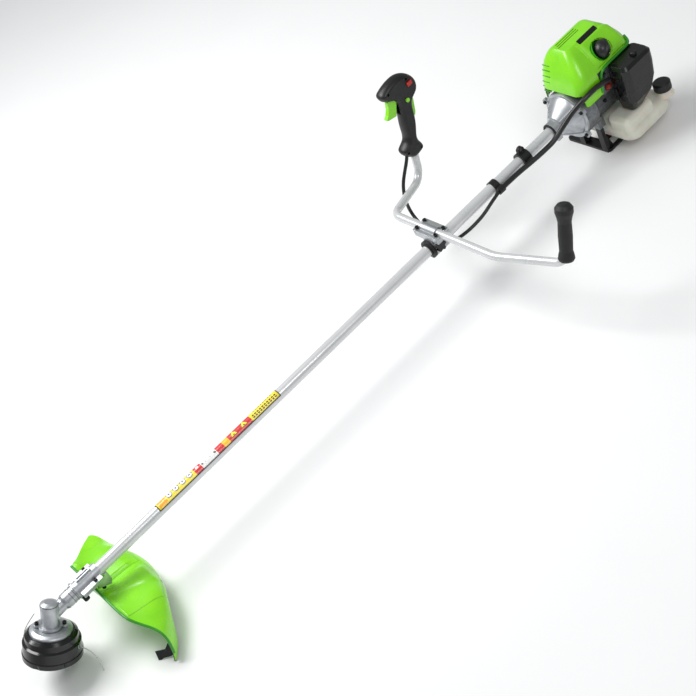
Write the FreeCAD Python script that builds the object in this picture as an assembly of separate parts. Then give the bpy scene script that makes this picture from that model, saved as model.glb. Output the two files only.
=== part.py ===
import FreeCAD, Part
import math
import os

# Petrol string trimmer (brush cutter) with bike handlebars.
# Row frame: +X runs along the shaft from the cutting head to the engine, +Y is the
# operator's right, +Z is up. The origin is on the ground, below the shaft's axis,
# at the middle of the engine stand. Everything is built about the shaft's axis and
# lifted by axis_height when it is written.

V = FreeCAD.Vector
X, Y, Z = V(1, 0, 0), V(0, 1, 0), V(0, 0, 1)
O = V(0, 0, 0)

# ---------------------------------------------------------------- driving sizes (mm)
axis_height = 133.0        # shaft axis above the ground
head_x = -1654.0           # gearbox apex, where the spindle meets the shaft's axis
clamp_x = -525.0           # middle of the handlebar clamp
clip_x = -336.0            # cable clip on the shaft
harness_x = -237.0         # harness clamp
collar_x = -143.0          # front face of the clutch housing's collar
housing_rear_x = -80.0     # joint between clutch housing and crankcase

tube_d = 26.0              # shaft tube
tube_wall = 1.6
drive_d = 8.0              # solid inner drive shaft
bar_d = 19.0               # handlebar tubes
bar_wall = 1.6
head_tilt = 30.0           # spindle against the vertical, degrees

fit_gap = 0.05             # radial clearance of a running fit
body_gap = 0.4             # clearance between bodies that move past each other
screw_d = 5.0              # socket screws of the head, guard and clamps
screw_head_d = 8.5
screw_head_h = 5.0

tube_r = tube_d / 2
drive_r = drive_d / 2
bar_r = bar_d / 2
screw_r = screw_d / 2
screw_head_r = screw_head_d / 2


# ---------------------------------------------------------------- helpers
def cyl(radius, length, at, direction=X):
    return Part.makeCylinder(radius, length, at, direction)


def ring(outer, inner, length, at, direction=X):
    over = direction * 1.0
    return cyl(outer, length, at, direction).cut(cyl(inner, length + 2, at - over, direction))


def block(x0, x1, y0, y1, z0, z1):
    return Part.makeBox(x1 - x0, y1 - y0, z1 - z0, V(x0, y0, z0))


def fuse(shapes):
    whole = shapes[0]
    for shape in shapes[1:]:
        whole = whole.fuse(shape)
    return whole.removeSplitter()


def cut(shape, tools):
    for tool in tools:
        shape = shape.cut(tool)
    return shape


def polygon(points):
    return Part.makePolygon(points + [points[0]])


def revolve(profile, at=O, direction=X):
    """Turn a closed outline of (along, radius) pairs about the line at/direction."""
    side = Y if abs(direction.dot(Y)) < 0.9 else Z
    side = (side - direction * side.dot(direction)).normalize()
    face = Part.Face(polygon([at + direction * a + side * r for a, r in profile]))
    return face.revolve(at, direction, 360)


def round_edges(shape, radius, chosen):
    edges = [edge for edge in shape.Edges if chosen(edge)]
    return shape.makeFillet(radius, edges) if edges else shape


def rounded_rect(x0, x1, y0, y1, corner, z):
    """Closed rectangle with rounded corners in the plane at height z."""
    c = corner
    k = c * (1 - math.sqrt(0.5))
    runs = [
        ((x0 + c, y0), (x1 - c, y0)), ((x1, y0 + c), (x1, y1 - c)),
        ((x1 - c, y1), (x0 + c, y1)), ((x0, y1 - c), (x0, y0 + c)),
    ]
    mids = [(x1 - k, y0 + k), (x1 - k, y1 - k), (x0 + k, y1 - k), (x0 + k, y0 + k)]
    edges = []
    for i, (start, end) in enumerate(runs):
        following = runs[(i + 1) % 4][0]
        edges.append(Part.LineSegment(V(*start, z), V(*end, z)).toShape())
        edges.append(Part.Arc(V(*end, z), V(*mids[i], z), V(*following, z)).toShape())
    return Part.Wire(edges)


def route(points, label):
    """Straight runs joined by tangent arcs, each as large as its two runs allow."""
    edges = []
    start = points[0]
    radii = []
    for before, corner, after in zip(points, points[1:], points[2:]):
        to_start = (before - corner)
        to_end = (after - corner)
        shorter = min(to_start.Length, to_end.Length)
        to_start.normalize()
        to_end.normalize()
        half_turn = (math.pi - to_start.getAngle(to_end)) / 2
        reach = 0.45 * shorter
        radius = reach / math.tan(half_turn)
        inward = (to_start + to_end).normalize()
        middle = corner + inward * (radius / math.cos(half_turn) - radius)
        enter = corner + to_start * reach
        leave = corner + to_end * reach
        edges.append(Part.LineSegment(start, enter).toShape())
        edges.append(Part.Arc(enter, middle, leave).toShape())
        start = leave
        radii.append(radius)
    edges.append(Part.LineSegment(start, points[-1]).toShape())
    print(label, "arc radii", [round(r, 1) for r in radii])
    return Part.Wire(edges)


def pipe(points, radius, label):
    path = route(points, label)
    direction = (points[1] - points[0]).normalize()
    section = Part.Wire([Part.makeCircle(radius, points[0], direction)])
    tube = path.makePipeShell([section], True, True)
    print(label, "volume over section x length",
          round(tube.Volume / (math.pi * radius ** 2 * path.Length), 4))
    return tube


def bent_tube(points, bends, outer, inner):
    """A tube bent to a stated radius at each corner of its line; also its solid outside."""
    edges = []
    start = points[0]
    for before, corner, after, bend in zip(points, points[1:], points[2:], bends):
        to_start = (before - corner).normalize()
        to_end = (after - corner).normalize()
        half_turn = (math.pi - to_start.getAngle(to_end)) / 2
        reach = bend * math.tan(half_turn)
        inward = (to_start + to_end).normalize()
        middle = corner + inward * (bend / math.cos(half_turn) - bend)
        edges.append(Part.LineSegment(start, corner + to_start * reach).toShape())
        edges.append(Part.Arc(corner + to_start * reach, middle, corner + to_end * reach).toShape())
        start = corner + to_end * reach
    edges.append(Part.LineSegment(start, points[-1]).toShape())
    path = Part.Wire(edges)
    direction = (points[1] - points[0]).normalize()
    solids = []
    for radius in (outer, inner):
        section = Part.Wire([Part.makeCircle(radius, points[0], direction)])
        solids.append(path.makePipeShell([section], True, True))
    return solids[0].cut(solids[1]), solids[0]


def socket_screw(head_base, direction, length):
    """Socket screw: head_base is where the head seats, direction points to the tip."""
    head = cyl(screw_head_r, screw_head_h, head_base - direction * screw_head_h, direction)
    socket = cyl(screw_r * 0.8, screw_head_h * 0.6, head_base - direction * screw_head_h, direction)
    return head.cut(socket).fuse(cyl(screw_r, length, head_base, direction))


tilt_turn = FreeCAD.Placement(V(head_x, 0, 0), FreeCAD.Rotation(Y, head_tilt))


def in_head(shape):
    """Carry a shape from the spindle's frame (Z up the spindle) to the shaft's frame."""
    placed = shape.copy()
    placed.Placement = tilt_turn.multiply(placed.Placement)
    return placed


# ---------------------------------------------------------------- shaft
socket_depth = 45.0                      # apex to the tube's end inside the gearbox
tube_start = head_x + socket_depth
tube_end = collar_x + 34.0
tube_inner_r = tube_r - tube_wall
bush_count = 6
bush_length = 22.0
drum_front_x = -104.0                    # closed end of the clutch drum
drive_end = drum_front_x + 3.0


def shaft_tube():
    return ring(tube_r, tube_inner_r, tube_end - tube_start, V(tube_start, 0, 0))


def drive_shaft():
    start = head_x + pinion_back + 0.5
    return cyl(drive_r, drive_end - start, V(start, 0, 0))


def shaft_bushes():
    spacing = (tube_end - tube_start - 2 * bush_length) / (bush_count - 1)
    bushes = []
    for i in range(bush_count):
        at = V(tube_start + bush_length / 2 + i * spacing, 0, 0)
        bushes.append(ring(tube_inner_r - 0.02, drive_r + fit_gap, bush_length, at))
    return Part.makeCompound(bushes)


# ---------------------------------------------------------------- gearbox
pinion_teeth = 13
crown_teeth = 17
pinion_pitch_r = 7.6
face_width = 5.0
shaft_angle = math.radians(90 - head_tilt)
pinion_cone = math.atan2(math.sin(shaft_angle), crown_teeth / pinion_teeth + math.cos(shaft_angle))
crown_cone = shaft_angle - pinion_cone
cone_length = pinion_pitch_r / math.sin(pinion_cone)
tooth_height = 0.13                      # addendum, as a share of the pinion's cone angle
pinion_back = cone_length * math.cos(pinion_cone) + 6.0
crown_back = cone_length * math.cos(crown_cone) + 4.0

gear_case_r = 18.5
gear_case_wall = 3.5
case_top = 27.0
case_bottom = -18.0
cap_height = 7.0
socket_r = 17.0
socket_end = 65.5
flange_plate_r = 24.0
flange_ear = 27.0
flange_plate_h = 5.0
ear_turn = -33.0                         # azimuth of the holder plate's screws, degrees
spindle_r = 6.0


def bevel_gear(teeth, cone, first_tooth):
    """Straight bevel gear about +Z with its cone's apex at the origin."""
    half_thick = math.pi / teeth / 2 * 0.78
    addendum = tooth_height * pinion_cone
    root, tip = cone - 1.25 * addendum, cone + addendum
    near, far = cone_length - face_width, cone_length

    def spot(length, angle, azimuth):
        return V(length * math.sin(angle) * math.cos(azimuth),
                 length * math.sin(angle) * math.sin(azimuth), length * math.cos(angle))

    blank = revolve([
        (near * math.cos(root), 0), (near * math.cos(root), near * math.sin(root)),
        (far * math.cos(root), far * math.sin(root)),
        (far * math.cos(root) + 3, far * math.sin(root) * 0.8), (far * math.cos(root) + 3, 0),
    ], O, Z)
    for i in range(teeth):
        middle = first_tooth + 2 * math.pi * i / teeth
        wires = []
        for length in (near, far):
            wires.append(polygon([
                spot(length, root * 0.94, middle - half_thick * 1.3),
                spot(length, root * 0.94, middle + half_thick * 1.3),
                spot(length, tip, middle + half_thick * 0.62),
                spot(length, tip, middle - half_thick * 0.62),
            ]))
        blank = blank.fuse(Part.makeLoft(wires, True, True))
    return blank


def pinion_gear():
    gear = bevel_gear(pinion_teeth, pinion_cone, math.pi)
    gear = gear.fuse(cyl(drive_r, pinion_back - cone_length * math.cos(pinion_cone),
                         V(0, 0, cone_length * math.cos(pinion_cone) + 0.5), Z))
    gear.Placement = FreeCAD.Placement(V(head_x, 0, 0), FreeCAD.Rotation(Y, 90))
    return gear


def output_shaft():
    gear = bevel_gear(crown_teeth, crown_cone, math.pi / crown_teeth)
    bottom = head_bottom_of_nut
    spindle = cyl(spindle_r, crown_back - bottom, V(0, 0, bottom), Z)
    nose = (cone_length - face_width) * math.cos(crown_cone)
    pinion_room = revolve([(-9, 12), (nose - 0.6, 12), (nose - 0.6, spindle_r - 2.2), (-9, spindle_r - 2.2)], O, Z)
    return in_head(fuse([gear, spindle.cut(pinion_room)]))


def ear_places():
    turn = math.radians(ear_turn)
    reach = V(flange_ear * math.cos(turn), flange_ear * math.sin(turn), 0)
    return [V(0, 0, case_bottom) + reach, V(0, 0, case_bottom) - reach]


def gearbox_housing():
    case = cyl(gear_case_r, case_top - case_bottom, V(0, 0, case_bottom), Z)
    plate = cyl(flange_plate_r, flange_plate_h, V(0, 0, case_bottom - flange_plate_h), Z)
    ears = [cyl(6, flange_plate_h, at + V(0, 0, -flange_plate_h), Z) for at in ear_places()]
    case = in_head(fuse([case, plate] + ears))
    neck = revolve([(0, 0), (0, 14), (34, 14), (40, socket_r), (socket_end, socket_r), (socket_end, 0)],
                   V(head_x, 0, 0), X)
    body = case.fuse(neck)
    gear_room = in_head(cyl(gear_case_r - gear_case_wall, case_top - case_bottom - 3, V(0, 0, case_bottom + 4), Z))
    spindle_hole = in_head(cyl(spindle_r + fit_gap, 20, V(0, 0, case_bottom - flange_plate_h - 1), Z))
    drive_room = cyl(drive_r + fit_gap, socket_depth + 2, V(head_x + pinion_back - 3, 0, 0))
    pinion_room = cyl(pinion_pitch_r + 3.4, pinion_back - 1, V(head_x, 0, 0))
    socket = cyl(tube_r, socket_end, V(tube_start, 0, 0))
    grooves = [ring(socket_r + 1, socket_r - 0.8, 1.6, V(head_x + at, 0, 0)) for at in (42.0, 58.0)]
    holes = [in_head(cyl(screw_r, flange_plate_h + 2, at + V(0, 0, -flange_plate_h - 1), Z))
             for at in ear_places()]
    return cut(body, [gear_room, spindle_hole, drive_room, pinion_room, socket] + grooves + holes)


def gearbox_cap():
    rise = cap_height - 2.0
    dome = revolve([(case_top, 0), (case_top, gear_case_r - 0.6), (case_top + 3, gear_case_r - 0.6),
                    (case_top + rise, gear_case_r - 3.0), (case_top + cap_height, gear_case_r - 9.0),
                    (case_top + cap_height, 0)], O, Z)
    return in_head(dome)


# ---------------------------------------------------------------- cutting head
disc_r = 42.5
disc_top = case_bottom - flange_plate_h - 1.0
disc_h = 9.0
cup_top = disc_top - disc_h
cup_r_top = 52.5
cup_step = 17.0
cup_r_low = 59.0
cup_height = 57.0
cup_wall = 2.6
cup_bottom = cup_top - cup_height
hub_r = 11.0
knob_r = 25.0
knob_drop = 12.0
head_bottom_of_nut = cup_bottom + 14.0
spool_r = 44.0
spool_top = cup_top - 8.0
spool_h = 36.0
line_d = 2.4
line_exit_z = cup_top - 25.0
line_turn = -55.0                        # azimuth of the first eyelet; the second is opposite


def line_ways():
    turn = math.radians(line_turn)
    out = V(math.cos(turn), math.sin(turn), 0)
    return [out, -out]


def holder_flange():
    low = disc_top - disc_h
    disc = revolve([(disc_top, spindle_r + 0.02), (disc_top, disc_r - 8), (disc_top - 3, disc_r - 2),
                    (disc_top - 5, disc_r), (low, disc_r), (low, spindle_r + 0.02)], O, Z)
    return in_head(disc)


def head_housing():
    low = cup_bottom
    outer = revolve([
        (cup_top, spindle_r + 0.02), (cup_top, cup_r_top - 6), (cup_top - 5, cup_r_top),
        (cup_top - cup_step, cup_r_top + 1), (cup_top - cup_step - 3, cup_r_low - 1),
        (low + 16, cup_r_low), (low + 14, cup_r_low + 1.5), (low + 4, cup_r_low + 1.5),
        (low, cup_r_low - 4), (low, knob_r + body_gap + 4), (low + cup_wall, knob_r + body_gap + 4),
        (low + cup_wall, cup_r_low - cup_wall - 3), (low + 5, cup_r_low - cup_wall - 0.5),
        (cup_top - cup_step - 4, cup_r_low - cup_wall - 1), (cup_top - cup_step, cup_r_top - cup_wall),
        (cup_top - 6, cup_r_top - cup_wall), (cup_top - cup_wall - 0.6, cup_r_top - 8),
        (cup_top - cup_wall - 0.6, hub_r), (head_bottom_of_nut + 8, hub_r), (head_bottom_of_nut + 8, spindle_r + 0.02),
    ], O, Z)
    notches = []
    for i in range(6):
        turn = math.radians(30 + 60 * i)
        at = V((cup_r_low + 5) * math.cos(turn), (cup_r_low + 5) * math.sin(turn), low - 1)
        notches.append(cyl(8, 15, at, Z))
    for out in line_ways():
        notches.append(cyl(line_d / 2 + 1.2, 40, out * (cup_r_top - 20) + V(0, 0, line_exit_z), out))
    return in_head(cut(outer, notches))


def head_spool():
    low = spool_top - spool_h
    core = spool_r - 20
    body = revolve([
        (spool_top, hub_r + 1), (spool_top, spool_r), (spool_top - 2, spool_r), (spool_top - 2, core),
        (low + 18, core), (low + 18, spool_r), (low + 16, spool_r), (low + 16, core), (low + 2, core),
        (low + 2, spool_r), (low, spool_r), (low, hub_r + 1),
    ], O, Z)
    for start, end in ((spool_top - 2.2, low + 18.2), (low + 15.8, low + 2.2)):
        body = body.fuse(wound_line(core, start, end))
    return in_head(body)


def wound_line(core, start, end):
    """The line wound on the spool, as one closed packet with ridges a strand apart."""
    turns = int((start - end) / line_d)
    outline = [(start, core - 0.5)]
    for i in range(turns):
        z = start - (i + 0.5) * (start - end) / turns
        outline += [(z + line_d * 0.45, core + 12), (z, core + 12.6), (z - line_d * 0.45, core + 12)]
    outline.append((end, core - 0.5))
    return revolve(outline, O, Z)


def bump_knob():
    """Domed button under the head, hollow from the spool down, with grip grooves round its side."""
    low = cup_bottom - knob_drop
    rest = spool_top - spool_h - body_gap
    inner = knob_r - 6.0
    cap = revolve([
        (rest, inner), (rest, knob_r - 1), (cup_bottom + 5, knob_r), (low + 4, knob_r),
        (low, knob_r - 5), (low, 0), (low + 4, 0), (low + 4, inner),
    ], O, Z)
    grips = [cyl(2.2, knob_drop + 6, V((knob_r + 1.2) * math.cos(a), (knob_r + 1.2) * math.sin(a), low - 1), Z)
             for a in [2 * math.pi * i / 12 for i in range(12)]]
    return in_head(cut(cap, grips))


line_paths = [
    [(7, -1, 0), (16, -2, 0), (34, -9, 0), (53, -23, 0), (69, -40, 0), (82, -56, 0)],
    [(7, -3, 0), (13, -18, 0), (18, -44, 0), (21, -73, 0)],
]


def trimmer_line(i):
    """Stiff nylon line leaving the head sideways and trailing in a gentle curve."""
    out = line_ways()[i]
    across = Z.cross(out)
    start = out * (cup_r_low - 3.0) + V(0, 0, line_exit_z)
    points = [start] + [start + out * a + across * b + V(0, 0, c) for a, b, c in line_paths[i]]
    return in_head(pipe(points, line_d / 2, "trimmer line"))


# ---------------------------------------------------------------- guard
bracket_front = 591.0 - 525.0            # distance of the bracket's front from the apex
bracket_length = 63.0
bracket_r = tube_r + 5.0
bracket_bolt_at = 43.0
bracket_bolt_y = 22.5
ear_h = 4.5
guard_front_r = 97.0                     # front edge, straight across, from the spindle
guard_r = 236.0
guard_wall = 3.0
guard_low = 30.0                         # height of the plate at its front edge
guard_high = 40.0                        # and at its rim
guard_from = 42.0                        # ends of the fan, degrees about the spindle
guard_to = -53.0
pad_from = guard_front_r + 6.0
pad_to = pad_from + 30.0
guard_screw_y = 8.0
pad_half = 14.0


def bracket_half(side):
    x0 = head_x + bracket_front
    x1 = x0 + bracket_length
    shell = ring(bracket_r, tube_r, bracket_length, V(x0, 0, 0))
    ears = block(x0 + 6, x1 - 6, -bracket_bolt_y - 8, bracket_bolt_y + 8, 0, ear_h)
    half = fuse([shell, ears]).cut(cyl(tube_r, bracket_length + 2, V(x0 - 1, 0, 0)))
    keep = block(x0 - 1, x1 + 1, -60, 60, 0.3, 60)
    half = half.common(keep)
    if side < 0:
        half = half.mirror(O, Z)
    return half


def bracket_bolt_places():
    x0 = head_x + bracket_front
    return [V(x0 + bracket_bolt_at, y, 0) for y in (-bracket_bolt_y, bracket_bolt_y)]


def bracket_upper():
    x0 = head_x + bracket_front
    half = bracket_half(1)
    rib = block(x0 + 14, x0 + bracket_length - 12, -5, 5, bracket_r - 3, bracket_r + 3.5)
    slot = block(x0 + 18, x0 + bracket_length - 16, -2.2, 2.2, bracket_r, bracket_r + 5)
    lip = ring(bracket_r + 3, tube_r, 4, V(x0, 0, 0)).common(block(x0 - 1, x0 + 8, -40, 40, 0.3, 40))
    upper = cut(fuse([half, rib, lip]), [slot, cyl(tube_r, bracket_length + 2, V(x0 - 1, 0, 0))])
    holes = [cyl(screw_r, 20, at + V(0, 0, -1), Z) for at in bracket_bolt_places()]
    return cut(upper, holes)


def bracket_lower():
    x0 = head_x + bracket_front
    half = bracket_half(-1)
    pad = block(pad_from, pad_to, -pad_half, pad_half, plate_height(pad_from) + 0.1, plate_height(pad_from) + 30)
    pad = in_head(pad).cut(block(x0 - 60, x0 + 160, -60, 60, -tube_r + 6, 100))
    pad = pad.common(block(x0 - 10, x0 + bracket_length + 8, -60, 60, -90, 60))
    boss = cyl(7, 10, V(x0 + 8, 0, -bracket_r - 5), Z)
    lower = fuse([half, pad, boss]).cut(cyl(tube_r, bracket_length + 40, V(x0 - 20, 0, 0)))
    holes = [cyl(screw_r, 20, at + V(0, 0, -19), Z) for at in bracket_bolt_places()]
    holes += [in_head(cyl(screw_r, 24, V((pad_from + pad_to) / 2, y, plate_height(pad_from) - 10), Z))
              for y in (-guard_screw_y, guard_screw_y)]
    return cut(lower, holes)


def plate_height(radius):
    share = (radius - guard_front_r) / (guard_r - guard_front_r)
    return guard_low + (guard_high - guard_low) * share


def eased(share):
    share = min(1.0, max(0.0, share))
    return share * share * (3 - 2 * share)


def guard_section(degrees, offset):
    """Outline points of the guard's outer face at one angle about the spindle.

    The fan is flat with a rounded rim and a wall; towards its left end it droops into one slope."""
    angle = math.radians(degrees)
    front = guard_front_r / math.cos(angle)
    droop = eased((-26.0 - degrees) / (-26.0 - guard_to))
    dip = 10.0 * eased((-4.0 - degrees) / (-4.0 - guard_to))
    sweep = (guard_from - degrees) / (guard_from - guard_to)
    flare = 10.0 * eased((degrees - 24.0) / (guard_from - 24.0))
    rim = guard_r + flare - 6.0 * eased((10.0 - degrees) / 25.0)
    low = guard_low - 14.0 - 46.0 * sweep ** 1.4
    start = (front, plate_height(front) - dip)
    fall = 0.2 + 0.8 * eased((guard_from - degrees) / 22.0)
    fan = [start, (rim - 34, guard_high - 0.5), (rim - 13, guard_high - 2 * fall), (rim - 3, guard_high - 11 * fall),
           (rim, guard_high - 24 * fall), (rim + 1, guard_high - (guard_high - low) * fall)]
    slope = [start, (188, 17), (216, 13), (236, 3), (250, -16), (261, -52)]
    points = [(a[0] + (b[0] - a[0]) * droop, a[1] + (b[1] - a[1]) * droop) for a, b in zip(fan, slope)]
    moved = []
    for i, (r, t) in enumerate(points):
        back = points[max(i - 1, 0)]
        ahead = points[min(i + 1, len(points) - 1)]
        run = math.hypot(ahead[0] - back[0], ahead[1] - back[1])
        moved.append((r + (ahead[1] - back[1]) / run * offset, t - (ahead[0] - back[0]) / run * offset))
    return [V(r * math.cos(angle), r * math.sin(angle), t) for r, t in moved]


def guard_wire(degrees):
    outer = guard_section(degrees, 0.0)
    inner = guard_section(degrees, guard_wall)
    outer_curve = Part.BSplineCurve()
    outer_curve.interpolate(outer)
    inner_curve = Part.BSplineCurve()
    inner_curve.interpolate(inner[::-1])
    return Part.Wire([
        outer_curve.toShape(), Part.LineSegment(outer[-1], inner[-1]).toShape(),
        inner_curve.toShape(), Part.LineSegment(inner[0], outer[0]).toShape(),
    ])


def guard_angles(start, stop, count):
    return [start + (stop - start) * i / (count - 1) for i in range(count)]


def guard_shell():
    wires = [guard_wire(a) for a in guard_angles(guard_from, guard_to, 12)]
    shell = Part.makeLoft(wires, True, False)
    holes = [cyl(screw_r + 0.3, 24, V((pad_from + pad_to) / 2, y, guard_low - 12), Z)
             for y in (-guard_screw_y, guard_screw_y)]
    return above_ground(in_head(cut(shell, holes)), guard_clear)


skirt_wall = 2.0
skirt_drop = 16.0
guard_clear = 9.0        # lowest point of the shell above the ground
skirt_clear = 1.0        # lowest points of the skirt and cutter above the ground


def guard_skirt():
    """Black extension strip inside the lower part of the guard's wall."""
    wires = []
    for degrees in guard_angles(guard_from - 4, guard_to + 1.5, 11):
        line = guard_section(degrees, guard_wall + 0.2)
        inner = guard_section(degrees, guard_wall + 0.2 + skirt_wall)
        inward = (inner[5] - line[5]).normalize() * skirt_wall
        start = line[4] + (line[5] - line[4]) * 0.45
        end = line[5] + V(0, 0, -skirt_drop)
        wires.append(polygon([start, end, end + inward, start + inward]))
    strip = above_ground(in_head(Part.makeLoft(wires, True, True)), skirt_clear).cut(guard_shell())
    return max(strip.Solids, key=lambda solid: solid.Volume)


def above_ground(shape, clear):
    ground = clear - axis_height
    return shape.cut(block(head_x - 100, head_x + 400, -400, 400, ground - 200, ground))


def line_cutter():
    """Steel blade across the end of the skirt that trims the line to length."""
    angle = math.radians(guard_to + 4)
    out = V(math.cos(angle), math.sin(angle), 0)
    inner = guard_section(guard_to + 4, guard_wall + skirt_wall + 4.5)
    root = inner[5]
    outline = [inner[4] + V(0, 0, -4), root + V(0, 0, 2), root + V(0, 0, -4) - out * 6,
               root - out * 20 + V(0, 0, -10), root - out * 30 + V(0, 0, -20), root - out * 38 + V(0, 0, 2),
               root - out * 18 + V(0, 0, 10)]
    normal = out.cross(Z).normalize()
    return above_ground(in_head(Part.Face(polygon(outline)).extrude(normal * 2.0)), skirt_clear)


def socket_screws():
    screws = []
    for at in ear_places():
        screws.append(in_head(socket_screw(at, V(0, 0, -1), flange_plate_h)))
    for at in bracket_bolt_places():
        screws.append(socket_screw(at + V(0, 0, ear_h), V(0, 0, -1), 2 * ear_h))
    for y in (-guard_screw_y, guard_screw_y):
        seat = V((pad_from + pad_to) / 2, y, plate_height((pad_from + pad_to) / 2) - guard_wall - 0.2)
        screws.append(in_head(socket_screw(seat, Z, 10)))
    return Part.makeCompound(screws)


# ---------------------------------------------------------------- handlebars
bar_z = 36.0                             # bar axis above the shaft axis
saddle_x = 20.0                          # half length of the clamp along the shaft
clamp_bolt_x = 12.4
clamp_bolt_y = 30.6
saddle_y = clamp_bolt_y + 8.0
sleeve_r = tube_r + 3.0
cap_plate = 5.0
grip_lean = 20.0                         # grips lean back, degrees
right_grip_base = V(133, 180, 88)        # middle of the throttle grip's lower end
left_grip_base = V(56, -360, 52)
right_bar_end = V(155, 180, 143)
lean = V(math.sin(math.radians(grip_lean)), 0, math.cos(math.radians(grip_lean)))


def at_clamp(point):
    return V(clamp_x, 0, 0) + point


def right_bar():
    points = [V(0, 1.0, bar_z), V(0, 124, bar_z), V(130, 179, 16), right_bar_end]
    return bent_tube([at_clamp(p) for p in points], [34, 34], bar_r, bar_r - bar_wall)


def left_bar():
    foot = left_grip_base - lean * 17
    points = [V(0, -1.0, bar_z), V(0, -200, bar_z), foot, left_grip_base + lean * 94]
    return bent_tube([at_clamp(p) for p in points], [120, 30], bar_r, bar_r - bar_wall)


def bar_groove():
    return cyl(bar_r, 2 * saddle_y + 2, V(clamp_x, -saddle_y - 1, bar_z), Y)


def clamp_base():
    pillar = block(clamp_x - saddle_x, clamp_x + saddle_x, -saddle_y, saddle_y, bar_z - 12, bar_z - 0.4)
    collar = ring(sleeve_r + 6, sleeve_r, 2 * saddle_x, V(clamp_x - saddle_x, 0, 0))
    neck = block(clamp_x - saddle_x, clamp_x + saddle_x, -14, 14, sleeve_r, bar_z - 10)
    boss = cyl(8, star_back - 12, V(clamp_x, -12, 0) + star_at, -Y)
    base = round_edges(fuse([pillar, collar, neck, boss]), 2.0, is_vertical)
    holes = [cyl(screw_r + 0.5, 30, V(clamp_x + sx * clamp_bolt_x, sy * clamp_bolt_y, bar_z - 20), Z)
             for sx in (-1, 1) for sy in (-1, 1)]
    stud = cyl(star_stud_r + fit_gap, 20, V(clamp_x, -star_back - 1, 0) + star_at, Y)
    return cut(base, [bar_groove(), cyl(sleeve_r, 60, V(clamp_x - 30, 0, 0)), stud] + holes)


def is_vertical(edge):
    ends = edge.Vertexes
    if len(ends) != 2:
        return False
    run = ends[1].Point - ends[0].Point
    return abs(run.x) < 1e-6 and abs(run.y) < 1e-6 and run.Length > 4


def clamp_cap():
    cap_top = bar_z + cap_plate
    plate = block(clamp_x - saddle_x, clamp_x + saddle_x, -saddle_y, saddle_y, bar_z + 0.4, cap_top)
    ridge = cyl(bar_r + 3.4, 2 * (clamp_bolt_y - 8), V(clamp_x, -clamp_bolt_y + 8, bar_z), Y)
    ridge = ridge.common(block(clamp_x - 40, clamp_x + 40, -60, 60, bar_z + 0.4, bar_z + 40))
    cap = round_edges(fuse([plate, ridge]), 2.0, is_vertical)
    holes = [cyl(screw_r + 0.5, 30, V(clamp_x + sx * clamp_bolt_x, sy * clamp_bolt_y, bar_z - 1), Z)
             for sx in (-1, 1) for sy in (-1, 1)]
    return cut(cap, [bar_groove()] + holes)


def clamp_bolts():
    bolts = []
    for sx in (-1, 1):
        for sy in (-1, 1):
            seat = V(clamp_x + sx * clamp_bolt_x, sy * clamp_bolt_y, bar_z + cap_plate)
            bolts.append(socket_screw(seat, V(0, 0, -1), 17))
    return Part.makeCompound(bolts)


def clamp_sleeve():
    sleeve = ring(sleeve_r, tube_r, 2 * saddle_x + 14, V(clamp_x - saddle_x - 10, 0, 0))
    lip = ring(sleeve_r + 6, tube_r, 6, V(clamp_x - saddle_x - 7, 0, 0))
    gap = block(clamp_x - saddle_x - 12, clamp_x + saddle_x + 12, -2, 2, -30, 0)
    return fuse([sleeve, lip]).cut(gap)


star_at = V(-10, 0, 9.7)
star_back = 22.0                         # seat of the star knob left of the shaft's axis
star_thick = 10.0
star_stud_r = 3.0
star_r = 13.4


def star_knob():
    """Five-lobed knob on the clamp's left side, on a stud that locks the bars' angle."""
    seat = V(clamp_x, -star_back - body_gap, 0) + star_at
    outline = []
    for i in range(5):
        for turn, radius in ((-12, star_r), (12, star_r), (36, star_r * 0.62)):
            a = math.radians(72 * i + turn + 10)
            outline.append(seat + V(radius * math.cos(a), 0, radius * math.sin(a)))
    star = Part.Face(polygon(outline)).extrude(V(0, -star_thick, 0))
    star = round_edges(star, 1.6, lambda e: abs(e.Length - star_thick) < 0.1)
    return star.fuse(cyl(star_stud_r, 7.5, seat, Y))


# ---------------------------------------------------------------- grips
def leaned(base, shape):
    """Stand a shape made about +Z on a grip's base, leaned back with the grip."""
    placed = shape.copy()
    turn = FreeCAD.Placement(at_clamp(base), FreeCAD.Rotation(Y, grip_lean))
    placed.Placement = turn.multiply(placed.Placement)
    return placed


left_grip_length = 118.0
left_grip_r = 15.0


def left_grip():
    top = left_grip_length - 18
    outline = [(-10, bar_r + 0.02), (-10, left_grip_r), (-5, left_grip_r + 2.5), (4, left_grip_r + 1),
               (12, left_grip_r - 1), (45, left_grip_r), (75, left_grip_r - 1), (top - 14, left_grip_r + 1),
               (top - 4, left_grip_r + 4), (top + 6, left_grip_r + 4), (top + 13, left_grip_r - 1),
               (top + 16, 8), (top + 16, 0), (96, 0), (96, bar_r + 0.02)]
    return leaned(left_grip_base, revolve(outline, O, Z)).cut(left_bar()[1])


throttle_width = 33.0
throttle_round = 8.0
shell_wall = 3.0
throttle_side = [
    (133, 80), (157, 80), (167, 87), (163, 106), (170, 137), (181, 173), (192, 203), (210, 215),
    (217, 235), (205, 259), (185, 271), (158, 272), (134, 266), (122, 257), (127, 243), (150, 228),
    (153, 200), (142, 151), (131, 120), (114, 106), (118, 94),
]


def throttle_outline(y, inset):
    """Side view of the throttle grip, forward-back and up, drawn at y and drawn in by inset."""
    count = len(throttle_side)
    points = []
    for i in range(count):
        before = throttle_side[i - 1]
        after = throttle_side[(i + 1) % count]
        run = math.hypot(after[0] - before[0], after[1] - before[1])
        points.append(at_clamp(V(throttle_side[i][0] - (after[1] - before[1]) / run * inset,
                                 y, throttle_side[i][1] + (after[0] - before[0]) / run * inset)))
    curve = Part.BSplineCurve()
    curve.interpolate(points, True)
    return Part.Wire([curve.toShape()])


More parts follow.
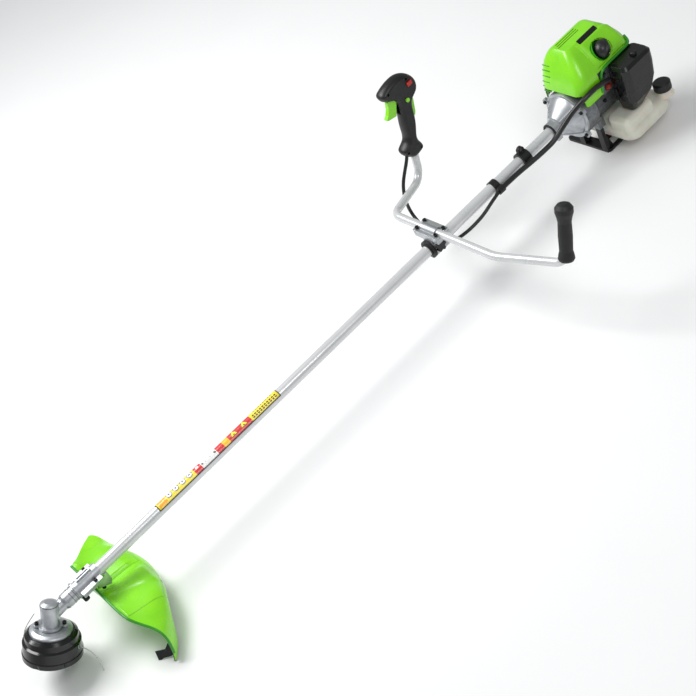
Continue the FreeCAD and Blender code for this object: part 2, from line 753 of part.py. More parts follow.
def throttle_solid(half, drawn_in):
    """Pillow-edged solid about the grip's middle plane."""
    mid = right_grip_base.y
    levels = [(-half, throttle_round), (-half + 3, throttle_round * 0.4), (-half + 9, 0),
              (half - 9, 0), (half - 3, throttle_round * 0.4), (half, throttle_round)]
    wires = [throttle_outline(mid + y, drawn_in + inset) for y, inset in levels]
    return Part.makeLoft(wires, True, False)


def throttle_body():
    return throttle_solid(throttle_width / 2, 0.0)


def throttle_cavity():
    room = throttle_solid(throttle_width / 2 - shell_wall, shell_wall)
    return room.common(at_region(60, 240, 150, 210, 186, 290))


def at_region(x0, x1, y0, y1, z0, z1):
    return block(clamp_x + x0, clamp_x + x1, y0, y1, z0, z1)


trigger_pivot = V(150, 180, 236)
trigger_width = 12.0
lockout_pivot = V(188, 180, 204.5)
lockout_width = 9.0


def trigger_slot():
    return at_region(104, 160, 180 - trigger_width / 2 - body_gap, 180 + trigger_width / 2 + body_gap, 188, 244)


def lockout_slot():
    return at_region(172, 222, 180 - 5 - body_gap, 180 + 5 + body_gap, 158, 208)


hold_at = V(175, 0, 214)
switch_at = V(196, 0, 245)


def throttle_shell(side):
    body = throttle_body()
    mid = right_grip_base.y
    keep = at_region(60, 260, mid if side > 0 else mid - 40, mid + 40 if side > 0 else mid, 40, 320)
    solid_bar = right_bar()[1]
    cable_way = V(*cable_points[1]) - V(*cable_points[0])
    tools = [throttle_cavity(), solid_bar, trigger_slot(), lockout_slot(),
             cyl(cable_r + 0.05, 60, at_clamp(V(*cable_points[0])), cable_way)]
    if side < 0:
        tools.append(cyl(5.0 + body_gap, 14, at_clamp(V(hold_at.x, mid - throttle_width / 2 - 1, hold_at.z)), Y))
        tools.append(at_region(switch_at.x - 7 - body_gap, switch_at.x + 7 + body_gap, mid - 30, mid - 6,
                               switch_at.z - 5 - body_gap, switch_at.z + 5 + body_gap))
    for at in grip_screw_places():
        tools.append(cyl(1.6, 60, at_clamp(V(at[0], mid - 30, at[1])), Y))
        if side < 0:
            tools.append(cyl(3.2, 8, at_clamp(V(at[0], mid - throttle_width / 2 - 2, at[1])), Y))
    pin = cyl(2.0, throttle_width - 6, at_clamp(trigger_pivot + V(0, 3 - throttle_width / 2, 0)), Y)
    return cut(body, tools).fuse(pin).common(keep)


def grip_screw_places():
    return [(159, 90), (122, 102), (193, 257), (137, 257)]


def grip_screws():
    mid = right_grip_base.y
    screws = []
    for x, z in grip_screw_places():
        head = cyl(3.0, 2.6, at_clamp(V(x, mid - throttle_width / 2 + 3.2, z)), Y)
        stem = cyl(1.55, 22, at_clamp(V(x, mid - throttle_width / 2 + 5.8, z)), Y)
        screws.append(head.fuse(stem))
    return Part.makeCompound(screws)


def side_prism(points, mid, width):
    """Plate of the given width about the plane y = mid, from an (x, z) outline."""
    face = Part.Face(polygon([at_clamp(V(x, mid - width / 2, z)) for x, z in points]))
    return face.extrude(V(0, width, 0))


def throttle_trigger():
    lever = side_prism([(141, 241), (156, 241), (157, 226), (147, 206), (140, 192), (120, 196), (113, 200),
                        (121, 207), (128, 218), (133, 234)], 180, trigger_width - 1)
    lever = round_edges(lever, 1.5, lambda e: e.Length > 20 and e.Vertexes[0].Point.z < 220 + axis_height)
    return lever.cut(cyl(2.0 + fit_gap, 40, at_clamp(trigger_pivot) - V(0, 20, 0), Y))


def throttle_lockout():
    lever = side_prism([(185, 203), (193, 206), (197, 198), (189, 168), (184, 160), (180, 164), (182, 186)],
                       lockout_pivot.y, lockout_width)
    barrel = cyl(2.0, lockout_width, at_clamp(lockout_pivot - V(0, lockout_width / 2, 0)), Y)
    return fuse([lever, barrel])


def hold_button():
    mid = right_grip_base.y
    return cyl(5.0, 10, at_clamp(V(hold_at.x, mid - throttle_width / 2 - 3, hold_at.z)), Y)


def stop_switch():
    mid = right_grip_base.y
    return at_region(switch_at.x - 7, switch_at.x + 7, mid - throttle_width / 2 - 3, mid - 9,
                     switch_at.z - 5, switch_at.z + 5)


# ---------------------------------------------------------------- cables
cable_r = 4.0
sleeve_cable_r = 6.0
cable_points = [(129, 180, 98), (116, 180, 77), (98, 179, 58), (82, 178, 38), (66, 170, 14), (44, 132, 4),
                (31, 92, -6), (30, 60, -22), (32, 26, -34), (44, -4, -32), (76, -22, -22), (118, -26, -16),
                (156, -24, -6), (188, -21.1, -1.2)]
sleeve_points = [(189, -21, -1), (242, -23, 0), (300, -32, 2), (352, -40, 8), (386, -45, 25), (418, -55, 46),
                 (451, -71, 63), (489, -74, 66), (526, -75, 57)]


def cable_route(points):
    return [at_clamp(V(*p)) for p in points]


def throttle_cable():
    return pipe(cable_route(cable_points), cable_r, "throttle cable")


def cable_sleeve():
    return pipe(cable_route(sleeve_points), sleeve_cable_r, "cable sleeve")


def cable_clip():
    band = ring(tube_r + 2.5, tube_r, 16, V(clip_x - 8, 0, 0))
    holder = cyl(sleeve_cable_r + 3, 16, V(clip_x - 8, -21, -1))
    return cut(fuse([band, holder]), [cyl(tube_r, 20, V(clip_x - 10, 0, 0)), cable_sleeve(), throttle_cable()])


eye_r = 4.5


def harness_clamp():
    """Clamp with a suspension eye above the shaft for the harness hook."""
    width = 24.0
    band = ring(tube_r + 6, tube_r, width, V(harness_x - width / 2, 0, 0))
    tab = block(harness_x - 9, harness_x + 9, -4, 4, tube_r + 2, tube_r + 20)
    tab = round_edges(tab, 8.5, lambda e: abs(e.Vertexes[0].Point.z - (tube_r + 20)) < 0.1
                      and abs(e.Length - 8) < 0.1)
    eye = cyl(eye_r, 20, V(harness_x, -10, tube_r + 12), Y)
    split = block(harness_x - 20, harness_x + 20, -1, 1, -30, 0)
    return cut(fuse([band, tab]), [eye, split, cyl(tube_r, 60, V(harness_x - 30, 0, 0))])


# ---------------------------------------------------------------- engine
drum_r = 33.0
drum_wall = 2.5
drum_depth = 21.0
shoe_r = 29.0
crank_r = 7.0
wheel_r = 50.0
wheel_x = -71.0
wheel_w = 20.0
case_front_r = 60.0
cylinder_x = 0.0
bore_r = 20.0
fin_size = 42.0
fin_pitch = 8.0
fin_count = 9
deck = 36.0
head_top = deck + fin_pitch * fin_count + 4


def clutch_housing():
    outer = revolve([
        (collar_x, tube_r), (collar_x, 20), (collar_x + 15, 21), (collar_x + 18, 25), (collar_x + 35, 38),
        (collar_x + 47, 47), (collar_x + 53, 51), (housing_rear_x - 6, 53), (housing_rear_x - 6, 60),
        (housing_rear_x, 60), (housing_rear_x, drum_r + 10), (drum_front_x + 2, drum_r + 1.5),
        (drum_front_x - 3, drum_r + 1), (drum_front_x - 3, tube_r),
    ])
    slot = block(collar_x - 1, collar_x + 20, -1.2, 1.2, -40, 0)
    lug = block(collar_x + 4, collar_x + 18, -12, 12, -28, -17)
    body = cut(fuse([outer, lug]), [slot, cyl(tube_r, 36, V(collar_x - 1, 0, 0))])
    ears = []
    holes = [cyl(tube_r, 36, V(collar_x - 1, 0, 0))]
    for turn in (25, 155, 220, 320):
        a = math.radians(turn)
        at = V(housing_rear_x - 8, 62 * math.cos(a), 62 * math.sin(a))
        ears.append(cyl(8, 8, at).cut(cyl(54, 10, V(at.x - 1, 0, 0))))
        holes.append(cyl(2.6, 20, at + V(-4, 0, 0)))
    slope = revolve([(collar_x + 16, 18), (collar_x + 18, 27), (collar_x + 35, 40.5), (collar_x + 47, 49.5),
                     (collar_x + 53, 53), (housing_rear_x - 6, 55), (housing_rear_x - 6, 50),
                     (collar_x + 40, 40), (collar_x + 22, 24)])
    ribs = []
    for turn in range(45, 360, 90):
        rib = block(collar_x + 16, housing_rear_x - 6, -1.5, 1.5, 18, 60)
        rib.rotate(O, X, turn)
        ribs.append(rib.common(slope))
    return cut(fuse([body] + ears + ribs), holes)


def clutch_drum():
    rear = drum_front_x + drum_depth
    drum = revolve([(drum_front_x, drive_r - 0.0), (drum_front_x, drum_r), (rear, drum_r),
                    (rear, drum_r - drum_wall), (drum_front_x + 3, drum_r - drum_wall), (drum_front_x + 3, drive_r)])
    return drum


def clutch_shoes():
    shoes = ring(shoe_r, 14, 12, V(drum_front_x + 6, 0, 0))
    gaps = [block(drum_front_x, drum_front_x + 30, -60, 60, -3, 3),
            block(drum_front_x, drum_front_x + 30, -3, 3, -60, 60).common(
                cyl(22, 60, V(drum_front_x - 2, 0, 0)))]
    halves = cut(shoes, gaps)
    carrier = ring(13.5, crank_r, 10, V(drum_front_x + 8, 0, 0))
    return Part.makeCompound(halves.Solids + [carrier])


def flywheel():
    disc = ring(wheel_r - 10, crank_r, 6, V(wheel_x + wheel_w - 6, 0, 0))
    fins = []
    for i in range(12):
        blade = block(wheel_x, wheel_x + wheel_w - 5, -1.2, 1.2, 22, wheel_r)
        blade.rotate(V(wheel_x, 0, 36), X, 18)
        blade.rotate(O, X, 30 * i)
        fins.append(blade)
    rim = ring(wheel_r, wheel_r - 14, 6, V(wheel_x + wheel_w - 6, 0, 0))
    hub = ring(14, crank_r, wheel_w, V(wheel_x, 0, 0))
    return fuse([disc, rim, hub] + fins)


def crankshaft():
    throw = 14.0
    front = cyl(crank_r, cylinder_x - 10 - drum_front_x - 6, V(drum_front_x + 6, 0, 0))
    rear = cyl(crank_r, 50, V(cylinder_x + 8, 0, 0))
    webs = [cyl(25, 9, V(cylinder_x + x, 0, 0)) for x in (-16, 7)]
    pin = cyl(6, 16, V(cylinder_x - 8, 0, throw))
    return fuse([front, rear, pin] + webs)


def crankcase():
    cup = revolve([(housing_rear_x, case_front_r - 5), (housing_rear_x, case_front_r), (-44, case_front_r),
                   (-40, 52), (-30, 46), (-30, crank_r + fit_gap), (-46, crank_r + fit_gap),
                   (-46, case_front_r - 5)])
    case = block(-31, 36, -38, 38, -44, deck)
    case = round_edges(case, 10, lambda e: abs(e.Length - 67) < 0.1)
    rear = ring(32, crank_r + fit_gap, 14, V(36, 0, 0))
    feet = [block(-44, -24, sy * leg_y - 8, sy * leg_y + 8, -64, -36) for sy in (-1, 1)]
    room = block(-24, 29, -31, 31, -37, deck - 7)
    shaft_way = cyl(crank_r + fit_gap, 120, V(-60, 0, 0))
    bore = cyl(bore_r, 60, V(cylinder_x, 0, 0), Z)
    wheel_room = cyl(case_front_r - 5, 34, V(housing_rear_x, 0, 0))
    fin_room = block(-43, 60, -45, 45, deck + 0.02, 100)
    return cut(fuse([cup, case, rear] + feet), [room, shaft_way, bore, wheel_room, fin_room])


def cylinder():
    core = cyl(28, head_top - deck, V(cylinder_x, 0, deck), Z)
    fins = []
    for i in range(fin_count):
        z = deck + 4 + i * fin_pitch
        plate = Part.Face(rounded_rect(cylinder_x - fin_size, cylinder_x + fin_size,
                                       -fin_size, fin_size, 14, z)).extrude(V(0, 0, 2.2))
        fins.append(plate)
    ports = [block(-16, 16, -fin_size - 2, -20, 52, 80), block(-16, 16, 20, fin_size + 2, 52, 80)]
    bore = cyl(bore_r, head_top - deck - 12, V(cylinder_x, 0, deck), Z)
    plug = cyl(plug_r + 0.02, 60, plug_seat, plug_way)
    cap_room = cyl(17, 60, plug_seat + plug_way * 15.9, plug_way)
    body = cut(fuse([core] + fins), [bore, plug, cap_room])
    return body.fuse(ports[0]).fuse(ports[1]).cut(
        cyl(9, 200, V(cylinder_x, -100, 66), Y)).cut(bore)


plug_seat = V(14, -16, 92)
plug_way = V(0.31, -0.79, 0.53).normalize()
plug_r = 7.0
plug_hole_r = 24.0


def spark_plug():
    thread = cyl(plug_r - 0.02, 16, plug_seat, plug_way)
    hexagon = cyl(9.5, 6, plug_seat + plug_way * 16, plug_way)
    insulator = Part.makeCone(6, 4.5, 20, plug_seat + plug_way * 22, plug_way)
    tip = cyl(2.5, 6, plug_seat + plug_way * 42, plug_way)
    return fuse([thread, hexagon, insulator, tip])


def plug_cap():
    start = plug_seat + plug_way * 30
    boot = cyl(13, 22, start, plug_way)
    bore = Part.makeCone(6.1, 4.6, 18, plug_seat + plug_way * 22, plug_way).fuse(
        cyl(5.4, 20, plug_seat + plug_way * 28.5, plug_way))
    elbow = Part.makeSphere(17, start + plug_way * 20)
    lead = cyl(5.0, 26, start + plug_way * 20, V(0.5, 0.6, -0.62))
    return cut(fuse([boot, elbow, lead]), [bore])


# engine cover
shroud_z0 = 30.0
shroud_top = 147.0
shroud_wall = 2.6
shroud_levels = [                        # height, front, rear, left side, right side, corner radius
    (shroud_z0, -82, 86, -66, 66, 24),
    (66, -79, 94, -66, 67, 26),
    (94, -70, 101, -61, 66, 24),
    (120, -57, 93, -43, 60, 20),
    (137, -46, 81, -26, 49, 16),
    (shroud_top, -37, 66, -12, 34, 12),
]
shroud_left = -66.0
shroud_right = 67.0


def shroud_solid(inset):
    wires = []
    for z, x0, x1, y0, y1, corner in shroud_levels:
        height = z - inset * (z - shroud_z0) / (shroud_top - shroud_z0)
        wires.append(rounded_rect(x0 + inset, x1 - inset, y0 + inset, y1 - inset, corner - inset / 2, height))
    return Part.makeLoft(wires, True, False)


carburettor_front = -18.0


def engine_shroud():
    shell = shroud_solid(0).cut(shroud_solid(shroud_wall))
    front_window = block(-90, -70, -62, 56, 0, 61)
    plug_hole = cyl(plug_hole_r, 90, plug_seat + plug_way * 26, plug_way)
    filter_side = block(carburettor_front - 1, 130, shroud_left - 5, shroud_left + 22, 0, filter_z1 + 2)
    rear = block(60, 130, -50, 46, 0, 78)
    starter_side = block(40, 130, -50, shroud_right + 5, 0, 48)
    exhaust = block(-34, 54, shroud_right - 20, shroud_right + 10, 0, 98)
    vents = []
    for i in range(3):
        vents.append(block(-33 + 3 * i, 36, 14 + 7 * i, 17 + 7 * i, 130, 170))
    return cut(shell, [front_window, plug_hole, filter_side, rear, starter_side, exhaust] + vents)


def muffler():
    box = block(-30, 42, 44, 92, 44, 96)
    box = round_edges(box, 8, lambda e: e.Length > 30)
    neck = block(-14, 14, fin_size + 2, 46, 54, 78)
    outlet = cyl(6, 14, V(36, 70, 56), X)
    return fuse([box, neck, outlet]).cut(cyl(4.5, 20, V(34, 70, 56), X)).cut(cyl(9, 8, V(0, fin_size, 66), Y))


def carburettor():
    body = block(-14, 16, -58, -fin_size - 2.1, 22, 84)
    body = round_edges(body, 3, lambda e: e.Length > 20)
    barrel = cyl(5, 10, V(1, -51.5, 82), Z)
    flange = block(carburettor_front, 20, -62, -58, 22, 82)
    bulb_room = cyl(9.5 + body_gap, 2.6, V(1, -62.5, 34), Y)
    return cut(fuse([body, barrel, flange]), [cyl(8, 60, V(0, -90, 66), Y), bulb_room])


filter_x0, filter_x1 = 9.0, 106.0
filter_y0, filter_y1 = -120.0, -62.0
filter_z0, filter_z1 = -35.0, 82.0
filter_wall = 2.5
filter_levels = [                        # height, front, rear, outer side, corner radius
    (filter_z0, 14, 52, -106, 12), (-12, 10, 80, -117, 14), (16, filter_x0, 97, filter_y0, 15),
    (50, filter_x0, filter_x1 - 2, filter_y0, 16), (filter_z1 - 8, 10, filter_x1, -119, 16),
    (filter_z1, 15, filter_x1 - 6, -114, 14),
]
filter_screw = (66.0, -98.0)


def filter_solid(inset, open_by):
    """Body of the filter cover drawn in by inset, and reaching past its inner side by open_by."""
    wires = []
    for z, x0, x1, y0, corner in filter_levels:
        share = (z - filter_z0) / (filter_z1 - filter_z0)
        height = z + inset * (1 - 2 * share)
        wires.append(rounded_rect(x0 + inset, x1 - inset, y0 + inset, filter_y1 + open_by, corner - inset / 2, height))
    return Part.makeLoft(wires, True, True)


def filter_cover():
    stem_hole = cyl(3.2, 60, V(filter_screw[0], filter_screw[1], filter_z1 - 20), Z)
    return cut(filter_solid(0, 0), [filter_solid(filter_wall, 8), stem_hole])


def air_filter():
    element = block(filter_x0 + 10, filter_x1 - 16, filter_y0 + 14, -62.1, 20, 70)
    return round_edges(element, 6, lambda e: e.Length > 30 and e.Vertexes[0].Point.y < filter_y0 + 20)


def filter_knob():
    head = revolve([(filter_z1 + 0.4, 0), (filter_z1 + 0.4, 8), (filter_z1 + 6, 7), (filter_z1 + 8, 5),
                    (filter_z1 + 8, 0)], V(filter_screw[0], filter_screw[1], 0), Z)
    stem = cyl(3.0, 10, V(filter_screw[0], filter_screw[1], filter_z1 - 9), Z)
    return head.fuse(stem)


def choke_lever():
    arm = block(filter_x0 - 4.0, filter_x0 - 1.0, -80, -72, -4, 26)
    hub = cyl(5, 5.5, V(filter_x0 - 6.0, -76, 0))
    return arm.fuse(hub)


def primer_bulb():
    centre = V(1, -62, 34)
    dome = Part.makeSphere(8, centre)
    return dome.common(block(-40, 40, -90, -62.4, 0, 60)).fuse(cyl(9.5, 2, centre - Y * 2.4, Y))


starter_x0 = 50.5                        # front rim of the starter housing
rope_x = starter_x0 + 16.0
rope_z = 30.0


def starter_housing():
    x0 = starter_x0
    cover = revolve([(x0, 50), (x0, 54), (x0 + 24, 52), (x0 + 34, 40), (x0 + 38, 20), (x0 + 38, 0),
                     (x0 + 35, 0), (x0 + 35, 18), (x0 + 31, 38), (x0 + 22, 49), (x0, 50)])
    guide = block(rope_x - 8, rope_x + 8, 41, 64, rope_z - 9, rope_z + 9)
    slots = []
    for i in range(8):
        slot = block(x0 + 30, x0 + 45, -2, 2, 14, 34)
        slot.rotate(O, X, 45 * i)
        slots.append(slot)
    inside = revolve([(x0 - 1, 0), (x0 - 1, 50), (x0, 50), (x0 + 22, 49), (x0 + 31, 38), (x0 + 31, 0)])
    return cut(fuse([cover, guide]), slots + [inside, cyl(rope_hole_r, 60, V(rope_x, 30, rope_z), Y)])


rope_hole_r = 3.2


def starter_handle():
    at = V(rope_x, 64 + body_gap, rope_z)
    bar = block(at.x - 20, at.x + 20, at.y, at.y + 12, at.z - 6, at.z + 6)
    bar = round_edges(bar, 4.5, lambda e: abs(e.Length - 40) < 0.1)
    stem = cyl(rope_hole_r - 0.4, 14, at + V(0, 4, 0), -Y)
    return bar.fuse(stem)


tank_x0, tank_x1 = -24.0, 125.0
tank_y0, tank_y1 = -117.0, 64.0
tank_z0, tank_z1 = -108.0, -64.0
tank_wall = 2.5
tank_corner = 34.0
tank_round = 19.0
shoulder_top = -40.0
cap_at = V(115, -101, -52)
cap_r = 21.0


def tank_solid(inset):
    i = inset
    body = block(tank_x0 + i, tank_x1 - i, tank_y0 + i, tank_y1 - i, tank_z0 + i, tank_z1 - i)
    body = body.makeFillet(tank_corner - i, [e for e in body.Edges if is_vertical(e)])
    body = body.makeFillet(tank_round - i, [e for e in body.Edges if not is_vertical(e)])
    neck = Part.makeCone(cap_r + 2 - i, cap_r - 5 - i, 16 - i, cap_at + V(0, 0, -16), Z)
    shoulder = block(tank_x0 + 2 + i, 72 - i, tank_y0 + 6 + i, -46 - i, tank_z1 - 20, shoulder_top - i)
    upper = [e for e in shoulder.Edges if max(v.Point.z for v in e.Vertexes) > shoulder_top - i - 1]
    shoulder = shoulder.makeFillet(14 - i, upper)
    return body.fuse(neck).fuse(shoulder)


def fuel_tank():
    mouth = cyl(cap_r - 5 - tank_wall, 30, cap_at + V(0, 0, -20), Z)
    return tank_solid(0).cut(tank_solid(tank_wall)).cut(mouth)


def fuel_cap():
    base = cap_at + V(0, 0, body_gap)
    lid = revolve([(0, 0), (0, cap_r), (16, cap_r), (19, cap_r - 4), (19, 0), (16, 0)], base, Z)
    ridges = []
    for i in range(16):
        a = 2 * math.pi * i / 16
        ridges.append(cyl(1.6, 14, base + V((cap_r + 0.8) * math.cos(a), (cap_r + 0.8) * math.sin(a), 1), Z))
    return cut(lid, ridges)


stand_x0, stand_x1 = -44.0, 60.0
stand_y0, stand_y1 = -46.0, 88.0
stand_h = 6.0
leg_y = 34.0


def engine_stand():
    ground = -axis_height
    top = ground + stand_h
    base = block(stand_x0, stand_x1, stand_y0, stand_y1, ground, top)
    base = round_edges(base, 10, lambda e: abs(e.Length - stand_h) < 0.1)
    windows = [block(-18, 44, y0, y1, ground - 1, top + 1) for y0, y1 in ((stand_y0 + 10, -10), (10, stand_y1 - 14))]
    legs = [block(stand_x0, stand_x0 + 10, sy * leg_y - 8, sy * leg_y + 8, ground, -64) for sy in (-1, 1)]
    return fuse([cut(base, windows)] + legs + [leg_rib(-leg_y - 3), leg_rib(leg_y - 3)])


def leg_rib(y):
    """Triangular rib in the corner between a leg and the base."""
    ground = -axis_height
    outline = [V(stand_x0 + 9, y, ground + 2), V(-20, y, ground + 2), V(-20, y, ground + 9),
               V(stand_x0 + 9, y, -76)]
    return Part.Face(polygon(outline)).extrude(V(0, 6, 0))


# ---------------------------------------------------------------- build and write
makers = {
    "shaft_tube": shaft_tube, "drive_shaft": drive_shaft, "shaft_bushes": shaft_bushes,
    "gearbox_housing": gearbox_housing, "gearbox_cap": gearbox_cap, "pinion_gear": pinion_gear,
    "output_shaft": output_shaft, "holder_flange": holder_flange, "head_housing": head_housing,
    "head_spool": head_spool, "bump_knob": bump_knob,
    "trimmer_line_a": lambda: trimmer_line(0), "trimmer_line_b": lambda: trimmer_line(1),
    "bracket_upper": bracket_upper, "bracket_lower": bracket_lower, "socket_screws": socket_screws,
    "guard_shell": guard_shell, "guard_skirt": guard_skirt, "line_cutter": line_cutter,
    "clamp_base": clamp_base, "clamp_cap": clamp_cap, "clamp_bolts": clamp_bolts,
    "clamp_sleeve": clamp_sleeve, "star_knob": star_knob,
    "left_handlebar": lambda: left_bar()[0], "right_handlebar": lambda: right_bar()[0],
    "left_grip": left_grip, "throttle_grip_left": lambda: throttle_shell(-1),
    "throttle_grip_right": lambda: throttle_shell(1), "grip_screws": grip_screws,
    "throttle_trigger": throttle_trigger, "throttle_lockout": throttle_lockout,
    "hold_button": hold_button, "stop_switch": stop_switch,
    "throttle_cable": throttle_cable, "cable_sleeve": cable_sleeve, "cable_clip": cable_clip,
    "harness_clamp": harness_clamp,
    "clutch_housing": clutch_housing, "clutch_drum": clutch_drum, "clutch_shoes": clutch_shoes,
    "flywheel": flywheel, "crankshaft": crankshaft, "crankcase": crankcase, "cylinder": cylinder,
    "spark_plug": spark_plug, "plug_cap": plug_cap, "engine_shroud": engine_shroud,
    "muffler": muffler, "carburettor": carburettor, "air_filter": air_filter,
    "filter_cover": filter_cover, "filter_knob": filter_knob, "choke_lever": choke_lever,
    "primer_bulb": primer_bulb, "starter_housing": starter_housing, "starter_handle": starter_handle,
    "fuel_tank": fuel_tank, "fuel_cap": fuel_cap, "engine_stand": engine_stand,
}

os.makedirs("parts", exist_ok=True)
for name, maker in makers.items():
    shape = maker()
    shape.translate(V(0, 0, axis_height))
    solids = shape.Solids
    print(name, "solids", len(solids), "valid", shape.isValid(), "volume", round(shape.Volume))
    shape = solids[0] if len(solids) == 1 else Part.makeCompound(solids)
    shape.exportStep("parts/" + name + ".step")
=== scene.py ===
# %% [markdown]
# A petrol string trimmer, dressed for a picture. Its mechanical parts arrive as a finished model, and this
# lesson adds the paint, the cast metal, the moulded plastic, the printed band and the small fittings.
# Loading comes first, because every later step takes its places from the loaded parts.

# %% Load the mechanical model
import math

import bmesh
import bpy
from mathutils import Matrix, Quaternion, Vector
from mathutils.bvhtree import BVHTree


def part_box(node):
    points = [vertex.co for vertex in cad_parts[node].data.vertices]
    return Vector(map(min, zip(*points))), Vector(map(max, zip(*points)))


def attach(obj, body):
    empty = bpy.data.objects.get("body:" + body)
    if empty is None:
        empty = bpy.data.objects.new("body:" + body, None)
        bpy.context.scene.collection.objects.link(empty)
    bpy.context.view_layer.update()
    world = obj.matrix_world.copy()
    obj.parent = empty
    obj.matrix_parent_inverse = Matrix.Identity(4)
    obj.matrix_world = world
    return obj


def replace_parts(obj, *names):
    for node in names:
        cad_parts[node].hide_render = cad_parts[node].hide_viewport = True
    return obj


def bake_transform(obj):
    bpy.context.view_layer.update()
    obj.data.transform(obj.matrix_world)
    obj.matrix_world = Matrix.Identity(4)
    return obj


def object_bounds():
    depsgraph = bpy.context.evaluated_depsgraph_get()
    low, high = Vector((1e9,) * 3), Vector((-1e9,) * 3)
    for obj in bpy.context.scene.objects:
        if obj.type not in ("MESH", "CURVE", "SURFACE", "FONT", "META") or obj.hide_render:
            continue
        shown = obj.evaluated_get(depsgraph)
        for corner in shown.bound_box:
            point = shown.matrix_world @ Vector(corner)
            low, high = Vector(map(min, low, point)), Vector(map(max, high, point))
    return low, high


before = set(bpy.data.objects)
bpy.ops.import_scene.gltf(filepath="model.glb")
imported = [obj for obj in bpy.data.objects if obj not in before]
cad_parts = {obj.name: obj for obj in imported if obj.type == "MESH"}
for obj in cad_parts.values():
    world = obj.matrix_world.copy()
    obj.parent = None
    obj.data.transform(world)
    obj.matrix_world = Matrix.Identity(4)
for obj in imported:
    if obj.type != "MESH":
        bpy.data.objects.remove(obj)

cad_low, cad_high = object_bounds()
MM = 0.001
shaft_low, shaft_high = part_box("shaft_tube")
axis_height = (shaft_low.z + shaft_high.z) / 2
tube_radius = (shaft_high.z - shaft_low.z) / 2
print("loaded", len(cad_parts), "parts; the shaft's axis is", round(axis_height, 4), "m up")

# %% [markdown]
# The trimmer lies along X with its engine at the far end, so the camera stands to its left and above, with a
# long lens. The picture is turned about the line of sight, so that the shaft climbs from corner to corner.

# %% Camera
camera_data = bpy.data.cameras.new("camera")
camera_data.lens = 77.2
camera_data.sensor_width = 36.0
camera_data.clip_end = 60.0
camera = bpy.data.objects.new("camera", camera_data)
bpy.context.scene.collection.objects.link(camera)
eye = Vector((-1.7423, -2.2649, 1.9944 + axis_height))
target = Vector((-0.8470, -0.0458, axis_height))
roll = -0.519
camera.rotation_mode = "QUATERNION"
camera.location = eye
camera.rotation_quaternion = (target - eye).to_track_quat("-Z", "Y") @ Quaternion((0, 0, 1), roll)
bpy.context.scene.camera = camera
print("camera", round((target - eye).length, 3), "m from what it looks at")

# %% [markdown]
# Two ends of nylon cutting line leave the head. Each is a few centimetres long, about 2.4 mm thick and
# stiff enough to hold a gentle curve. A curve with a round bevel is the plain way to draw a cord: a few
# control points and a smooth spline through their neighbourhood, which never looks like bent wire.

# %% Cutting line
line_diameter = 2.4 * MM
line_ends = {
    "cutting_line_a": [
        (-1.6552, -0.0459, 0.0667), (-1.6524, -0.0522, 0.0651), (-1.6487, -0.0601, 0.0629),
        (-1.6447, -0.0789, 0.0606), (-1.6452, -0.1025, 0.0609), (-1.6493, -0.1253, 0.0633),
        (-1.6542, -0.1452, 0.0661)],
    "cutting_line_b": [
        (-1.7108, 0.0459, 0.0988), (-1.7122, 0.0533, 0.0996), (-1.7045, 0.0668, 0.0952),
        (-1.6885, 0.0859, 0.0860), (-1.6695, 0.1049, 0.0750)],
}


def cord_curve(name, points, diameter):
    """A round cord along a smooth spline whose control points are the ones given."""
    data = bpy.data.curves.new(name, "CURVE")
    data.dimensions = "3D"
    data.bevel_depth = 1.0
    data.bevel_resolution = 6
    data.resolution_u = 16
    data.use_fill_caps = True
    spline = data.splines.new("NURBS")
    spline.points.add(len(points) - 1)
    for point, place in zip(spline.points, points):
        point.co = (*place, 1.0)
        point.radius = diameter / 2
    spline.order_u = 3
    spline.use_endpoint_u = True
    cord = bpy.data.objects.new(name, data)
    bpy.context.scene.collection.objects.link(cord)
    return cord


line_nodes = {"cutting_line_a": "trimmer_line_a", "cutting_line_b": "trimmer_line_b"}
cords = {name: cord_curve(name, points, line_diameter) for name, points in line_ends.items()}
for name, cord in cords.items():
    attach(cord, "cutting_head")
    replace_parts(cord, line_nodes[name])

# %% [markdown]
# Materials are built from nodes. One helper adds a node, sets it and links it, so that each recipe below
# reads as a list of what the surface has: colours, grain, gloss. Colours are written as screen hex values and
# turned to linear light by one function.

# %% Node helper and colours


def linear(code):
    """Linear RGBA of an sRGB hex colour."""
    parts = [int(code[i:i + 2], 16) / 255 for i in (0, 2, 4)]
    return [p / 12.92 if p <= 0.04045 else ((p + 0.055) / 1.055) ** 2.4 for p in parts] + [1.0]


def add(tree, kind, inputs=None, **settings):
    """Adds one node, sets its settings, and gives each input named a value or a link."""
    made = tree.nodes.new("ShaderNode" + kind)
    for name, value in settings.items():
        setattr(made, name, value)
    for name, value in (inputs or {}).items():
        if isinstance(value, bpy.types.NodeSocket):
            tree.links.new(value, made.inputs[name])
        else:
            made.inputs[name].default_value = value
    return made


def start(name, **constants):
    """A new material with its shader and output; constants are set on the shader's own sockets."""
    material = bpy.data.materials.new(name)
    material.use_nodes = True
    tree = material.node_tree
    tree.nodes.clear()
    shader = add(tree, "BsdfPrincipled", {key.replace("_", " "): value for key, value in constants.items()})
    add(tree, "OutputMaterial", {"Surface": shader.outputs[0]})
    place = add(tree, "TexCoord").outputs["Object"]
    return material, tree, shader, place


COLOUR_A, COLOUR_B, MIXED = 6, 7, 2

# %% [markdown]
# Most surfaces share one story: a colour that drifts a little over patches, a fine grain left by the
# mould or the sand, gloss that is uneven where hands and dust have been, and edges that are rounded by a few
# tenths of a millimetre and rubbed lighter. One recipe takes those as sizes in millimetres.

# %% Worked surface


